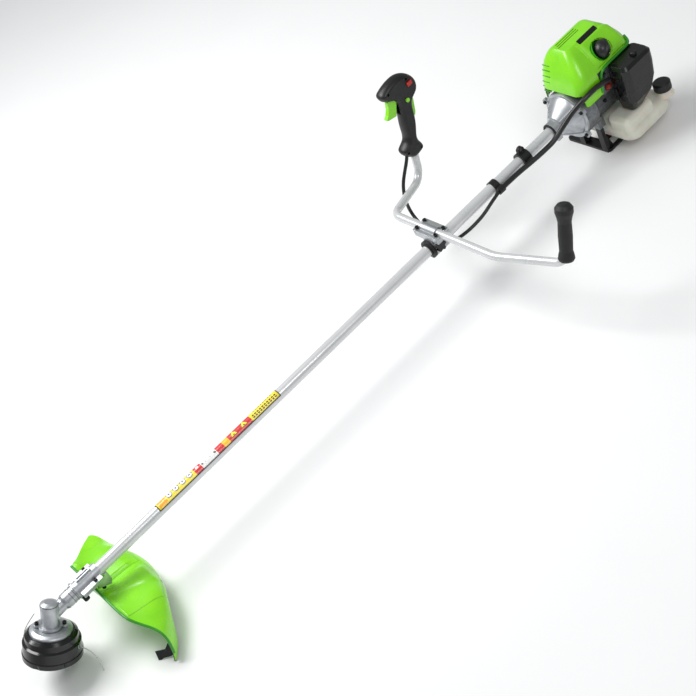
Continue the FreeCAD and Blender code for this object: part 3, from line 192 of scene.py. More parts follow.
def worked(name, base, drift, patch, grain, depth, rough, edge="", edge_radius=0.7, **constants):
    """Colour drifting over patches, grain of that size and depth, uneven gloss, and rubbed edges."""
    material, tree, shader, place = start(name, **constants)
    clouds = add(tree, "TexNoise", {"Vector": place, "Scale": 1000 / patch, "Detail": 5.0,
                                    "Roughness": 0.6})
    grains = add(tree, "TexNoise", {"Vector": place, "Scale": 1000 / grain, "Detail": 3.0,
                                    "Roughness": 0.55})
    cloud = add(tree, "MapRange", {"Value": clouds.outputs[0], "From Min": 0.35, "From Max": 0.65})
    colour = add(tree, "Mix", {0: cloud.outputs[0], COLOUR_A: linear(base), COLOUR_B: linear(drift)},
                 data_type="RGBA").outputs[MIXED]
    soft = add(tree, "Bevel", {"Radius": edge_radius * MM}, samples=4).outputs[0]
    if edge:
        flat = add(tree, "NewGeometry").outputs["Normal"]
        turn = add(tree, "VectorMath", {0: soft, 1: flat}, operation="DOT_PRODUCT").outputs["Value"]
        worn = add(tree, "MapRange", {"Value": turn, "From Min": 0.985, "From Max": 0.90}).outputs[0]
        patchy = add(tree, "Math", {0: worn, 1: cloud.outputs[0]}, operation="MULTIPLY").outputs[0]
        colour = add(tree, "Mix", {0: patchy, COLOUR_A: colour, COLOUR_B: linear(edge)},
                     data_type="RGBA").outputs[MIXED]
    gloss = add(tree, "MapRange", {"Value": clouds.outputs[0], "From Min": 0.3, "From Max": 0.7,
                                   "To Min": rough[0], "To Max": rough[1]}).outputs[0]
    bump = add(tree, "Bump", {"Height": grains.outputs[0], "Distance": depth * MM, "Strength": 1.0,
                              "Normal": soft}).outputs[0]
    tree.links.new(colour, shader.inputs["Base Color"])
    tree.links.new(gloss, shader.inputs["Roughness"])
    tree.links.new(bump, shader.inputs["Normal"])
    return material


def dress(material, *nodes):
    """Gives the material to mechanical parts whose shape is right as it is."""
    for name in nodes:
        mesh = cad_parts[name].data
        mesh.materials.clear()
        mesh.materials.append(material)
    print(material.name, "on", ", ".join(nodes))

# %% [markdown]
# The shaft and the handlebars are aluminium and steel tube under silver-white enamel. Spray enamel is very
# smooth, with a faint orange peel a few millimetres across, and a hard clear gloss on top.

# %% Enamelled tube


enamel = worked("silver_white_enamel", "D9DADB", "CFD1D2", 60, 3.0, 0.015, (0.20, 0.30), edge="E8E8E8",
                edge_radius=0.5, Metallic=0.25, IOR=1.5, Coat_Weight=0.5, Coat_Roughness=0.08)
dress(enamel, "shaft_tube", "left_handlebar", "right_handlebar")

# %% [markdown]
# The gearbox, the brackets, the handlebar clamp and the clutch housing are die-cast aluminium, tumbled and
# left bare. The eye sees a satin grey with sand-like grain about half a millimetre across, darker in patches
# where oil has stayed, and bright worn edges.

# %% Die-cast aluminium
cast = worked("diecast_aluminium", "C4C7CA", "A9ADB1", 18, 0.9, 0.05, (0.30, 0.46), edge="EDEFF1",
              Metallic=0.85)
dress(cast, "gearbox_housing", "gearbox_cap", "bracket_upper", "bracket_lower", "clamp_base",
      "clamp_cap", "clutch_housing", "holder_flange")
engine_metal = worked("sandcast_engine_aluminium", "8D9093", "6F7377", 12, 0.7, 0.08, (0.42, 0.6),
                      edge="B8BBBE", Metallic=0.8)
dress(engine_metal, "crankcase", "cylinder", "flywheel", "carburettor")

# %% [markdown]
# Shafts and gears are turned and ground steel. Turning leaves fine rings round the axis, so the pattern is
# a wave across X, a few tenths of a millimetre apart on the real thing and drawn at a millimetre here.

# %% Turned steel


def turned(name, base, drift, ring, rough):
    """Bare metal with turning rings across X."""
    material, tree, shader, place = start(name, Metallic=1.0)
    rings = add(tree, "TexWave", {"Vector": place, "Scale": 1000 / ring / 20, "Distortion": 0.6,
                                  "Detail": 2.0},
                wave_type="BANDS", bands_direction="X")
    clouds = add(tree, "TexNoise", {"Vector": place, "Scale": 1000 / 14, "Detail": 4.0})
    colour = add(tree, "Mix", {0: clouds.outputs[0], COLOUR_A: linear(base), COLOUR_B: linear(drift)},
                 data_type="RGBA").outputs[MIXED]
    gloss = add(tree, "MapRange", {"Value": rings.outputs["Fac"], "To Min": rough[0], "To Max": rough[1]})
    bump = add(tree, "Bump", {"Height": rings.outputs["Fac"], "Distance": 0.02 * MM, "Strength": 1.0})
    tree.links.new(colour, shader.inputs["Base Color"])
    tree.links.new(gloss.outputs[0], shader.inputs["Roughness"])
    tree.links.new(bump.outputs[0], shader.inputs["Normal"])
    return material


steel = turned("ground_steel", "B4B6B8", "9A9DA0", 1.0, (0.2, 0.38))
dress(steel, "drive_shaft", "pinion_gear", "output_shaft", "crankshaft", "clutch_drum")
dress(turned("sintered_bronze", "9C7A4A", "7E6138", 1.2, (0.35, 0.5)), "shaft_bushes")
dress(turned("sintered_friction_lining", "5A4E47", "453B36", 1.4, (0.6, 0.8)), "clutch_shoes")

# %% [markdown]
# Screws are steel with a black oxide, which is dull and slightly brown, and rubs to grey on its corners. The
# line cutter is thin spring steel with the same black coat.

# %% Black oxide steel
oxide = worked("black_oxide_steel", "2B2B2C", "1D1D1F", 6, 0.5, 0.02, (0.32, 0.5), edge="77797B",
               Metallic=0.7)
dress(oxide, "socket_screws", "clamp_bolts", "grip_screws", "line_cutter")

# %% [markdown]
# The engine cover, the guard and the controls are lime plastic, injection moulded in a polished tool: an
# even, saturated colour, a tight highlight and only the slightest ripple. The light goes a little way in.

# %% Lime moulded plastic
lime = worked("lime_polished_abs", "8BE216", "7FD90C", 55, 2.4, 0.012, (0.22, 0.34), edge="9BE24A",
              edge_radius=1.2, IOR=1.53, Coat_Weight=0.25, Coat_Roughness=0.12)
dress(lime, "guard_shell", "engine_shroud", "throttle_trigger", "throttle_lockout", "hold_button")

# %% [markdown]
# The cutting head is glass-filled nylon: black, glossy on its turned faces, with a fine grain. The starter
# cover and the stand are plainer black polypropylene from a spark-eroded tool, so they are matt with a
# pebbled texture about a millimetre across. The filter cover's tool was smoother, so it has a satin shine.

# %% Black plastics
nylon = worked("black_nylon", "060607", "030304", 20, 1.0, 0.02, (0.12, 0.22), edge="1C1D1E", IOR=1.53)
dress(nylon, "head_housing", "head_spool", "bump_knob", "star_knob")
pebbled = worked("black_textured_polypropylene", "101011", "0A0A0B", 30, 0.9, 0.07, (0.36, 0.5),
                 edge="2E2F31", edge_radius=1.0, IOR=1.49)
dress(pebbled, "guard_skirt", "throttle_grip_left", "throttle_grip_right", "cable_clip",
      "filter_knob", "choke_lever", "starter_housing", "starter_handle", "fuel_cap",
      "engine_stand", "harness_clamp")
dress(worked("satin_polypropylene", "0B0B0C", "070708", 45, 1.4, 0.03, (0.2, 0.32), edge="2A2B2D",
             edge_radius=1.0, IOR=1.49), "filter_cover")

# %% [markdown]
# The handlebar's end grip, the cable jackets and the plug cap are rubber and soft vinyl. Rubber is dull,
# a little grey from bloom and dust, and never quite smooth.

# %% Rubber and vinyl
rubber = worked("black_rubber", "0E0E0F", "161617", 16, 0.8, 0.06, (0.5, 0.68), edge="2C2C2E", IOR=1.52)
dress(rubber, "left_grip", "plug_cap", "clamp_sleeve")
vinyl = worked("black_vinyl_jacket", "0D0D0E", "131314", 24, 1.6, 0.03, (0.28, 0.42), edge="242426",
               IOR=1.53)
dress(vinyl, "throttle_cable", "cable_sleeve")

# %% [markdown]
# The stop switch is red moulded plastic, the primer bulb soft red-brown silicone, the spark plug has a white
# glazed insulator, the muffler wears matt heat paint, and the air filter is open-celled foam.

# %% Small parts of the engine and the controls
dress(worked("red_moulded_plastic", "C81E14", "B31810", 20, 1.2, 0.02, (0.25, 0.35), edge="E0473C",
             IOR=1.53), "stop_switch")
dress(worked("primer_silicone", "8C2A1C", "7A2216", 10, 1.0, 0.03, (0.35, 0.5), IOR=1.45,
             Subsurface_Weight=0.2, Subsurface_Scale=0.002), "primer_bulb")
dress(worked("glazed_alumina", "EDEBE4", "E2DFD6", 12, 1.0, 0.01, (0.12, 0.2), IOR=1.6), "spark_plug")
dress(worked("matt_heat_paint", "2C2C2D", "3A3836", 15, 0.6, 0.06, (0.6, 0.8), edge="5A5856", Metallic=0.3),
      "muffler")


def foam(name, base, hollow, cell):
    """Open foam: round cells of that size, dark inside."""
    material, tree, shader, place = start(name, IOR=1.45)
    cells = add(tree, "TexVoronoi", {"Vector": place, "Scale": 1000 / cell}, feature="F1")
    colour = add(tree, "Mix", {0: cells.outputs["Distance"], COLOUR_A: linear(hollow),
                               COLOUR_B: linear(base)}, data_type="RGBA").outputs[MIXED]
    bump = add(tree, "Bump", {"Height": cells.outputs["Distance"], "Distance": 0.6 * MM, "Strength": 1.0})
    gloss = add(tree, "MapRange", {"Value": cells.outputs["Distance"], "To Min": 0.95, "To Max": 0.8})
    tree.links.new(colour, shader.inputs["Base Color"])
    tree.links.new(gloss.outputs[0], shader.inputs["Roughness"])
    tree.links.new(bump.outputs[0], shader.inputs["Normal"])
    return material


dress(foam("filter_foam", "4A4A4C", "151515", 1.5), "air_filter")

# %% [markdown]
# The tank is natural high-density polyethylene, blown into its mould. It is milky, and the light that goes
# in comes out again nearby, so shadows inside it are soft. Its skin has a slight orange peel.

# %% Blown polyethylene tank
tank = worked("natural_polyethylene", "E6E1D3", "D9D2C2", 40, 3.5, 0.05, (0.28, 0.42), edge="F2EDE0",
              edge_radius=1.5, IOR=1.54, Subsurface_Weight=0.45, Subsurface_Scale=0.008)
dress(tank, "fuel_tank")

# %% [markdown]
# Cutting line is extruded nylon, translucent and faintly grey. At 2.4 mm thick it looks like dull glass, so
# most of the light goes through it, and drawing it leaves fine scratches along its length.

# %% Nylon monofilament


def monofilament(name, base, drift):
    """Translucent drawn nylon."""
    material, tree, shader, place = start(name, IOR=1.53, Transmission_Weight=0.55)
    clouds = add(tree, "TexNoise", {"Vector": place, "Scale": 1000 / 9, "Detail": 3.0})
    colour = add(tree, "Mix", {0: clouds.outputs[0], COLOUR_A: linear(base), COLOUR_B: linear(drift)},
                 data_type="RGBA").outputs[MIXED]
    gloss = add(tree, "MapRange", {"Value": clouds.outputs[0], "To Min": 0.2, "To Max": 0.4})
    tree.links.new(colour, shader.inputs["Base Color"])
    tree.links.new(gloss.outputs[0], shader.inputs["Roughness"])
    return material


clear_nylon = monofilament("nylon_monofilament", "C9CCC8", "AEB2AE")
for cord in cords.values():
    cord.data.materials.append(clear_nylon)
print("cutting line is", clear_nylon.name)

# %% [markdown]
# The fittings that follow are small meshes made with bmesh operators. Three helpers do what they share: one
# turns a bmesh into a finished piece on a body, one draws a rounded strip along a route, and one turns a ring
# round any line. Each piece keeps its place in its own mesh, with its object at the origin.

# %% Piece helpers


def finished(name, shape, body, slot, *materials, smooth=True):
    """Closes the bmesh into a piece that rides on the body."""
    bmesh.ops.remove_doubles(shape, verts=shape.verts, dist=1e-6)
    bmesh.ops.recalc_face_normals(shape, faces=shape.faces)
    for face in shape.faces:
        face.smooth = smooth
    mesh = bpy.data.meshes.new(name)
    shape.to_mesh(mesh)
    shape.free()
    for material in materials:
        mesh.materials.append(material)
    piece = bpy.data.objects.new(name, mesh)
    bpy.context.scene.collection.objects.link(piece)
    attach(piece, body)
    print(name, len(mesh.polygons), "faces on", body)
    return piece


def strip(name, points, width, body, slot, material):
    """A rounded strip along a smooth route, as a mesh."""
    route = cord_curve(name + "_route", points, width)
    route.data.resolution_u = 10
    mesh = bpy.data.meshes.new_from_object(route.evaluated_get(bpy.context.evaluated_depsgraph_get()))
    bpy.data.objects.remove(route)
    shape = bmesh.new()
    shape.from_mesh(mesh)
    bpy.data.meshes.remove(mesh)
    return finished(name, shape, body, slot, material)


def turned_shape(profile, centre, axis, steps=64):
    """A solid of revolution: profile is (distance along the axis, radius) pairs in metres."""
    shape = bmesh.new()
    chain = [shape.verts.new((radius, 0.0, along)) for along, radius in profile]
    edges = [shape.edges.new(pair) for pair in zip(chain, chain[1:])]
    bmesh.ops.spin(shape, geom=chain + edges, cent=(0, 0, 0), axis=(0, 0, 1), dvec=(0, 0, 0),
                   angle=2 * math.pi, steps=steps, use_merge=True, use_normal_flip=False, use_duplicate=False)
    turn = Vector(axis).to_track_quat("Z", "Y").to_matrix().to_4x4()
    bmesh.ops.transform(shape, matrix=Matrix.Translation(Vector(centre)) @ turn, verts=shape.verts)
    return shape


def ring_profile(radius, thickness):
    """A round section for a ring about the axis."""
    steps = [2 * math.pi * i / 12 for i in range(13)]
    return [(thickness * math.sin(a), radius + thickness * math.cos(a)) for a in steps]

# %% [markdown]
# A printed band wraps the upper side of the shaft: yellow, red and white fields with round and three-cornered
# signs, inside a black line. It is vinyl film a tenth of a millimetre thick. The film is a row of points spun
# part of the way round the shaft and given a wall, and its print is drawn in its own UV map, in metres along
# and round the shaft, so the fields follow the surface. The signs are plain shapes and the lines of print
# are bars.

# %% Printed band
band_from, band_to = -1.360, -1.015
band_first, band_last = math.radians(157), math.radians(23)
film = 0.12 * MM


def band_shape():
    """Film over the top of the shaft, with UV in metres."""
    shape = bmesh.new()
    radius = tube_radius + 0.05 * MM
    count = 40
    chain = [shape.verts.new((band_from + (band_to - band_from) * i / count, radius * math.cos(band_first),
                              axis_height + radius * math.sin(band_first))) for i in range(count + 1)]
    edges = [shape.edges.new(pair) for pair in zip(chain, chain[1:])]
    bmesh.ops.spin(shape, geom=chain + edges, cent=(0, 0, axis_height), axis=(-1, 0, 0), dvec=(0, 0, 0),
                   angle=band_first - band_last, steps=28, use_merge=False, use_normal_flip=False,
                   use_duplicate=False)
    bmesh.ops.recalc_face_normals(shape, faces=shape.faces)
    if sum(face.normal.z for face in shape.faces) < 0:
        bmesh.ops.reverse_faces(shape, faces=shape.faces)
    bmesh.ops.solidify(shape, geom=shape.faces, thickness=-film)
    print_map = shape.loops.layers.uv.new("print")
    for face in shape.faces:
        for loop in face.loops:
            place = loop.vert.co
            angle = math.atan2(place.z - axis_height, place.y)
            loop[print_map].uv = (place.x - band_from, (angle - math.pi / 2) * tube_radius)
    return shape


def printed_film(name):
    """Coloured fields, signs and bars in millimetres along and round the shaft."""
    material, tree, shader, place = start(name, IOR=1.5, Coat_Weight=0.4, Coat_Roughness=0.1)
    spot = add(tree, "UVMap", uv_map="print").outputs[0]
    parts = add(tree, "SeparateXYZ", {0: spot})
    along, around = parts.outputs[0], parts.outputs[1]
    speckle = add(tree, "TexNoise", {"Vector": place, "Scale": 1000 / 2.5, "Detail": 3.0}).outputs[0]

    def between(value, low, high):
        above = add(tree, "Math", {0: value, 1: low * MM}, operation="GREATER_THAN").outputs[0]
        under = add(tree, "Math", {0: value, 1: high * MM}, operation="LESS_THAN").outputs[0]
        return add(tree, "Math", {0: above, 1: under}, operation="MULTIPLY").outputs[0]

    def field(low, high, bottom, top):
        return add(tree, "Math", {0: between(along, low, high), 1: between(around, bottom, top)},
                   operation="MULTIPLY").outputs[0]

    def disc(middle, height, radius):
        away = add(tree, "VectorMath", {0: spot, 1: (middle * MM, height * MM, 0)}, operation="DISTANCE")
        return add(tree, "Math", {0: away.outputs["Value"], 1: radius * MM},
                   operation="LESS_THAN").outputs[0]

    def sign(middle, height, size):
        side = add(tree, "Math", {0: along, 1: middle * MM}, operation="SUBTRACT").outputs[0]
        side = add(tree, "Math", {0: side}, operation="ABSOLUTE").outputs[0]
        rise = add(tree, "Math", {0: height * MM, 1: around}, operation="SUBTRACT").outputs[0]
        slope = add(tree, "Math", {0: side, 1: 1.7, 2: rise}, operation="MULTIPLY_ADD").outputs[0]
        under = add(tree, "Math", {0: slope, 1: size * MM}, operation="LESS_THAN").outputs[0]
        foot = add(tree, "Math", {0: rise, 1: -size * 0.6 * MM}, operation="GREATER_THAN").outputs[0]
        return add(tree, "Math", {0: under, 1: foot}, operation="MULTIPLY").outputs[0]

    yellow, red, white, black, blue = "FFE82E", "D8121B", "F4F4F2", "0C0C0C", "1E3C78"
    marks = [(between(along, 2, 343), yellow), (field(5, 26, -11, 11), "FFB000"),
             (between(along, 105, 124), red), (between(along, 124, 167), white),
             (between(along, 167, 265), red), (field(186, 202, -13, 13), "FFC400"),
             (field(111, 118, -3, 3), white)]
    for middle in (36, 55, 74, 93):
        marks += [(disc(middle, 0, 7.5), blue), (disc(middle, 0, 6.0), white), (disc(middle, 0, 2.2), blue)]
    for middle in (217, 246):
        marks += [(sign(middle, 2, 10), black), (sign(middle, 2, 8.5), yellow),
                  (disc(middle, 5, 1.6), black)]
    for middle, radius in ((128, 2.6), (136, 1.4), (150, 1.2), (163, 3.0)):
        marks += [(disc(middle, 3, radius), "2A2E2C")]
    for row, start_at in ((-4, 278), (4, 270), (9, 270)):
        for i in range(10 if row > -1 else 8):
            marks += [(field(start_at + i * 7, start_at + i * 7 + 4.6, row - 1.6, row + 1.6), black)]
    marks += [(between(around, 12.9, 40), black), (between(around, -40, -12.9), black),
              (between(along, -1, 2.2), black), (between(along, 342.8, 346), black)]
    colour = add(tree, "RGB").outputs[0]
    colour.default_value = linear(yellow)
    for mask, code in marks:
        colour = add(tree, "Mix", {0: mask, COLOUR_A: colour, COLOUR_B: linear(code)},
                     data_type="RGBA").outputs[MIXED]
    faded = add(tree, "MapRange", {"Value": speckle, "To Min": 0.0, "To Max": 0.12}).outputs[0]
    colour = add(tree, "Mix", {0: faded, COLOUR_A: colour, COLOUR_B: linear("C9C6BC")},
                 data_type="RGBA").outputs[MIXED]
    gloss = add(tree, "MapRange", {"Value": speckle, "To Min": 0.22, "To Max": 0.38}).outputs[0]
    tree.links.new(colour, shader.inputs["Base Color"])
    tree.links.new(gloss, shader.inputs["Roughness"])
    return material


finished("printed_band", band_shape(), "frame", "tube_white", printed_film("printed_vinyl_film"))

# %% [markdown]
# The guard has a thick rolled rim along its open front, which stiffens it. A rounded strip along the edge
# gives it, coloured a darker lime that is painted shade. Its middle is pressed up into a broad flat
# swage with a sloping shoulder, and a low crease crosses the fan. Each is a thin shell laid on the guard
# that fades into it.

# %% Guard rim and swage
# A darker lime for painted shade: the guard's rim, the cover's edge, the plug's bowl and the louvres are
# coloured with it.
painted_shade_lime = worked("painted_shade_lime_abs", "2F9A12", "288C0E", 40, 2.4, 0.012, (0.25, 0.36), edge="86D63C",
                   IOR=1.53, Coat_Weight=0.2, Coat_Roughness=0.14)
rim_route = [
    (-1.5538, 0.0873, 0.1126), (-1.5542, 0.0705, 0.1119), (-1.5547, 0.0392, 0.1110),
    (-1.5550, 0.0136, 0.1105), (-1.5550, -0.0102, 0.1105), (-1.5560, -0.0353, 0.1087),
    (-1.5575, -0.0630, 0.1061),
    (-1.5582, -0.0937, 0.1049), (-1.5577, -0.1287, 0.1058), (-1.5475, -0.1501, 0.0912),
    (-1.5349, -0.1725, 0.0793), (-1.5295, -0.1885, 0.0646), (-1.5317, -0.1997, 0.0439),
    (-1.5381, -0.2052, 0.0245)]
strip("guard_rim", rim_route, 5.5 * MM, "frame", "lime_plastic", painted_shade_lime)


def merged_copy(node):
    """A node's surface as a bmesh with its corners joined, for rays and patches."""
    shape = bmesh.new()
    shape.from_mesh(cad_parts[node].data)
    bmesh.ops.remove_doubles(shape, verts=shape.verts, dist=1e-5)
    return shape


def laid_on(node, corner, size, counts, height):
    """A grid dropped on the node from above and raised by height(across, along), which run from 0 to 1."""
    way = Vector((0, 0, -1))
    ground = merged_copy(node)
    surface = BVHTree.FromBMesh(ground)
    ground.free()
    shape = bmesh.new()
    bmesh.ops.create_grid(shape, x_segments=counts[0], y_segments=counts[1], size=0.5)
    missed = []
    for vert in shape.verts:
        along, across = vert.co.x + 0.5, vert.co.y + 0.5
        place = Vector((corner[0] + along * size[0], corner[1] + across * size[1], 1.0))
        found, normal, _, _ = surface.ray_cast(place, way)
        if found is None:
            missed.append(vert)
        else:
            vert.co = found + normal * height(across, along)
    bmesh.ops.delete(shape, geom=missed, context="VERTS")
    shape.normal_update()
    if sum(face.normal.dot(way) for face in shape.faces) > 0:
        bmesh.ops.reverse_faces(shape, faces=shape.faces)
    return shape


def backed(shape):
    """The patch with a back half a millimetre below it and a wall round its edge."""
    bmesh.ops.solidify(shape, geom=shape.faces[:], thickness=0.5 * MM)
    bmesh.ops.recalc_face_normals(shape, faces=shape.faces)
    return shape


def eased(share):
    share = min(1.0, max(0.0, share))
    return share * share * (3 - 2 * share)


def swage_height(across, along):
    """A steep shoulder beside the shaft, then a flat that fades out towards the right end."""
    shoulder = eased(across / 0.10)
    far = eased((1 - across) / 0.35)
    front = eased(along / 0.06)
    back = eased((1 - along) / 0.25)
    return (0.2 + 6.0 * shoulder * far * front * back) * MM


def crease_height(across, along):
    """A low step that runs back and to the left across the fan."""
    line = 0.30 + 0.45 * (1 - along)
    step = eased((across - line) / 0.16)
    sides = eased(across / 0.2) * eased((1 - across) / 0.12)
    fade = sides * eased(along / 0.06) * eased((1 - along) / 0.15)
    return (0.15 + 3.2 * step * fade) * MM


swage = laid_on("guard_shell", (-1.5515, 0.012), (0.100, 0.105), (56, 64), swage_height)
finished("guard_swage", backed(swage), "frame", "lime_plastic", lime)
crease = laid_on("guard_shell", (-1.5515, -0.118), (0.104, 0.118), (56, 64), crease_height)
finished("guard_crease", backed(crease), "frame", "lime_plastic", lime)

# %% [markdown]
# On the engine cover a black badge plate sits in the top, a thick edge runs along the opening beside the
# air filter, and a bowl sinks round the spark plug's boot; the edge and the bowl are coloured a darker lime
# that is painted shade. The boot itself is an egg of soft rubber with a rib
# to pull it by, wider than the mechanical model's plain ball, so it replaces it.

# %% Cover fittings
plate = bmesh.new()
bmesh.ops.create_cube(plate, size=1.0)
bmesh.ops.scale(plate, vec=(0.060, 0.0135, 0.006), verts=plate.verts)
bmesh.ops.bevel(plate, geom=plate.edges[:], offset=2.2 * MM, offset_type="OFFSET", segments=4, profile=0.5,
                affect="EDGES", material=-1)
cover_slope = math.radians(30.7)
bmesh.ops.rotate(plate, cent=(0, 0, 0), matrix=Matrix.Rotation(cover_slope, 3, "X"), verts=plate.verts)
bmesh.ops.translate(plate, vec=(0.0280, -0.0155, 0.2770), verts=plate.verts)
finished("cover_badge_plate", plate, "frame", "black_plastic", nylon, smooth=False)

# The cover's edge is coloured with the darker lime: painted shade along the opening.
edge_route = [(0.0985, -0.048, 0.231), (0.0975, -0.060, 0.222), (0.0860, -0.0655, 0.2190),
              (0.0600, -0.0655, 0.2185), (0.0300, -0.0655, 0.2185), (0.0060, -0.0655, 0.2180),
              (-0.0060, -0.0655, 0.2130), (-0.0130, -0.0658, 0.2020), (-0.0150, -0.0655, 0.1850),
              (-0.0200, -0.0640, 0.1660)]
strip("cover_edge", edge_route, 7.0 * MM, "frame", "lime_plastic", painted_shade_lime)

plug_seat = Vector((0.014, -0.016, 0.092 + axis_height))
plug_way = Vector((0.31, -0.79, 0.53)).normalized()
bowl_radius = 0.0243
bowl_profile = [(0.040, 0.0238), (0.030, 0.0232), (0.024, 0.0200), (0.021, 0.0140), (0.0205, 0.0),
                (0.0190, 0.0), (0.0195, 0.0150), (0.0225, 0.0215), (0.029, 0.0247), (0.040, 0.0252)]
# The bowl is coloured with the darker lime: painted shade in the hollow.
finished("plug_bowl", turned_shape(bowl_profile, plug_seat, plug_way), "frame", "lime_plastic", painted_shade_lime)


def boot_shape():
    """An egg with a rib across its crown, on a short neck."""
    shape = bmesh.new()
    bmesh.ops.create_uvsphere(shape, u_segments=64, v_segments=40, radius=1.0)
    for vert in shape.verts:
        near = max(0.0, 1 - abs(vert.co.y) / 0.20)
        vert.co += vert.normal * (0.13 * eased(near) * max(0.0, vert.co.z + 0.2))
    bmesh.ops.scale(shape, vec=(0.0215, 0.0185, 0.0190), verts=shape.verts)
    turn = plug_way.to_track_quat("Z", "Y").to_matrix().to_4x4() @ Matrix.Rotation(math.radians(35), 4, "Z")
    centre = Matrix.Translation(plug_seat + plug_way * 0.044)
    bmesh.ops.transform(shape, matrix=centre @ turn, verts=shape.verts)
    return shape


soft_rubber = worked("soft_black_rubber", "141416", "1B1B1D", 14, 1.2, 0.03, (0.3, 0.45), edge="3C3C3E",
                     IOR=1.52)
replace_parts(finished("plug_boot", boot_shape(), "frame", "black_rubber", soft_rubber), "plug_cap")

# %% [markdown]
# Round the plug's bowl the cover stands up in a broad soft-edged panel that runs back to the rear edge. It is
# laid on the cover in the same way as the guard's step, and the vertices over the bowl are left out.

# %% Raised panel on the cover


def panel_height(across, along):
    """Raised everywhere but at its own edges, steeper in front than at the sides."""
    return (0.15 + 2.6 * eased(across / 0.12) * eased((1 - across) / 0.16) * eased(along / 0.14)
            * eased((1 - along) / 0.10)) * MM


panel = laid_on("engine_shroud", (-0.012, -0.0625), (0.104, 0.046), (72, 40), panel_height)
over_bowl = []
for vert in panel.verts:
    from_seat = vert.co - plug_seat
    if (from_seat - plug_way * from_seat.dot(plug_way)).length < bowl_radius:
        over_bowl.append(vert)
bmesh.ops.delete(panel, geom=over_bowl, context="VERTS")
finished("cover_panel", backed(panel), "frame", "lime_plastic", lime)

# %% [markdown]
# Louvres and small bolts break up the big surfaces. The bolts are black oxide steel with a round head and a
# round socket, both turned from one profile. The ears of the clutch housing hold
# four of them. A black rubber ring round the housing's neck at the shaft is a painted shadow, a rubber stop
# sits under the front corner of the guard's bracket, and the louvres are strips of darker lime that is painted
# shade.

# %% Bolts and louvres


def bolt(name, place, way, radius, body="frame"):
    """A round-headed bolt with a round socket, turned from one profile."""
    head = radius * 0.9
    profile = [(-0.4 * head, 0.0), (-0.4 * head, radius), (head * 0.7, radius), (head, radius * 0.82),
               (head, radius * 0.5), (head * 0.35, radius * 0.48), (head * 0.3, 0.0)]
    return finished(name, turned_shape(profile, place, way, steps=24), body, "black_screws", oxide)


ear_radius = 0.062
ear_angles = {"a": 25, "b": 155, "c": 220, "d": 320}
for letter, degrees in ear_angles.items():
    turn = math.radians(degrees)
    spot = Vector((-0.0880, ear_radius * math.cos(turn), axis_height + ear_radius * math.sin(turn)))
    bolt("housing_bolt_" + letter, spot, (-1, 0, 0), 4.2 * MM)
bolt("case_bolt", (-0.0021, -0.0380, 0.1214), (0, -1, 0), 4.6 * MM)
bolt("case_bolt_low", (-0.045, -0.0300, 0.0980), (0, -1, -0.4), 4.2 * MM)
# The collar ring is a black ring of painted shadow round the housing's neck at the shaft.
collar_front = (-0.1436, 0, axis_height)
finished("collar_painted_shadow_ring", turned_shape(ring_profile(0.0172, 3.0 * MM), collar_front, (1, 0, 0)), "frame",
         "black_rubber", rubber)
stop_profile = [(-6 * MM, 0.0), (-6 * MM, 6.5 * MM), (5 * MM, 6.5 * MM), (7 * MM, 4.5 * MM), (7 * MM, 0.0)]
finished("bracket_stop", turned_shape(stop_profile, (-1.5795, -0.0100, 0.1115), (0, -0.8, -0.6)), "frame",
         "black_rubber", rubber)
louvre_places = [(-0.0604, 0.0448, 0.2463), (-0.0660, 0.0430, 0.2370), (-0.0712, 0.0415, 0.2250),
                 (-0.0750, 0.0440, 0.2120), (-0.0770, 0.0450, 0.2000), (-0.0785, 0.0450, 0.1880)]
# Each louvre is a strip of the darker lime: painted shade.
for i, (x, y, z) in enumerate(louvre_places):
    points = [(x + 2.2 * MM, y + 13 * MM, z - 3 * MM), (x - 0.2 * MM, y + 4 * MM, z),
              (x - 0.3 * MM, y - 12 * MM, z)]
    strip("cover_louvre_" + str(i + 1), points, 2.2 * MM, "frame", "lime_plastic", painted_shade_lime)

# %% [markdown]
# The gearbox has a machined seam under its cap and two fine grooves on its neck, drawn as dark rings of
# painted shade, and the cutting head has a steel eyelet where each line comes out. All are rings: a round
# section turned about a line.

# %% Seams and eyelets
spindle = Vector((math.sin(math.radians(30)), 0, math.cos(math.radians(30))))
apex = Vector((-1.654, 0, axis_height))
# Dark aluminium rings paint the shade in the seam and the grooves.
groove_shade = worked("seam_shadow_aluminium", "5B5E61", "4A4D50", 6, 0.6, 0.03, (0.5, 0.65), Metallic=0.7)
finished("gearbox_seam", turned_shape(ring_profile(0.0176, 0.9 * MM), apex + spindle * 0.0275, spindle),
         "frame", "cast_alloy", groove_shade)
for i, x in enumerate((-1.5995, -1.5915)):
    neck_ring = turned_shape(ring_profile(0.0168, 0.6 * MM), (x, 0, axis_height), (1, 0, 0))
    finished("neck_groove_" + str(i + 1), neck_ring, "frame", "cast_alloy", groove_shade)
for letter, name in (("a", "cutting_line_a"), ("b", "cutting_line_b")):
    first, second = Vector(line_ends[name][0]), Vector(line_ends[name][1])
    out = (second - first).normalized()
    eyelet = turned_shape(ring_profile(3.6 * MM, 1.3 * MM), first + out * 3.2 * MM, out, steps=32)
    finished("eyelet_" + letter, eyelet, "cutting_head", "bright_steel", steel)

# %% [markdown]
# The starter rope is a 3 mm braided cord. It is hidden while the handle rests on its cover and runs out when
# the handle is drawn. Here it is drawn at rest, as a short straight cord through the handle.

# %% Starter rope


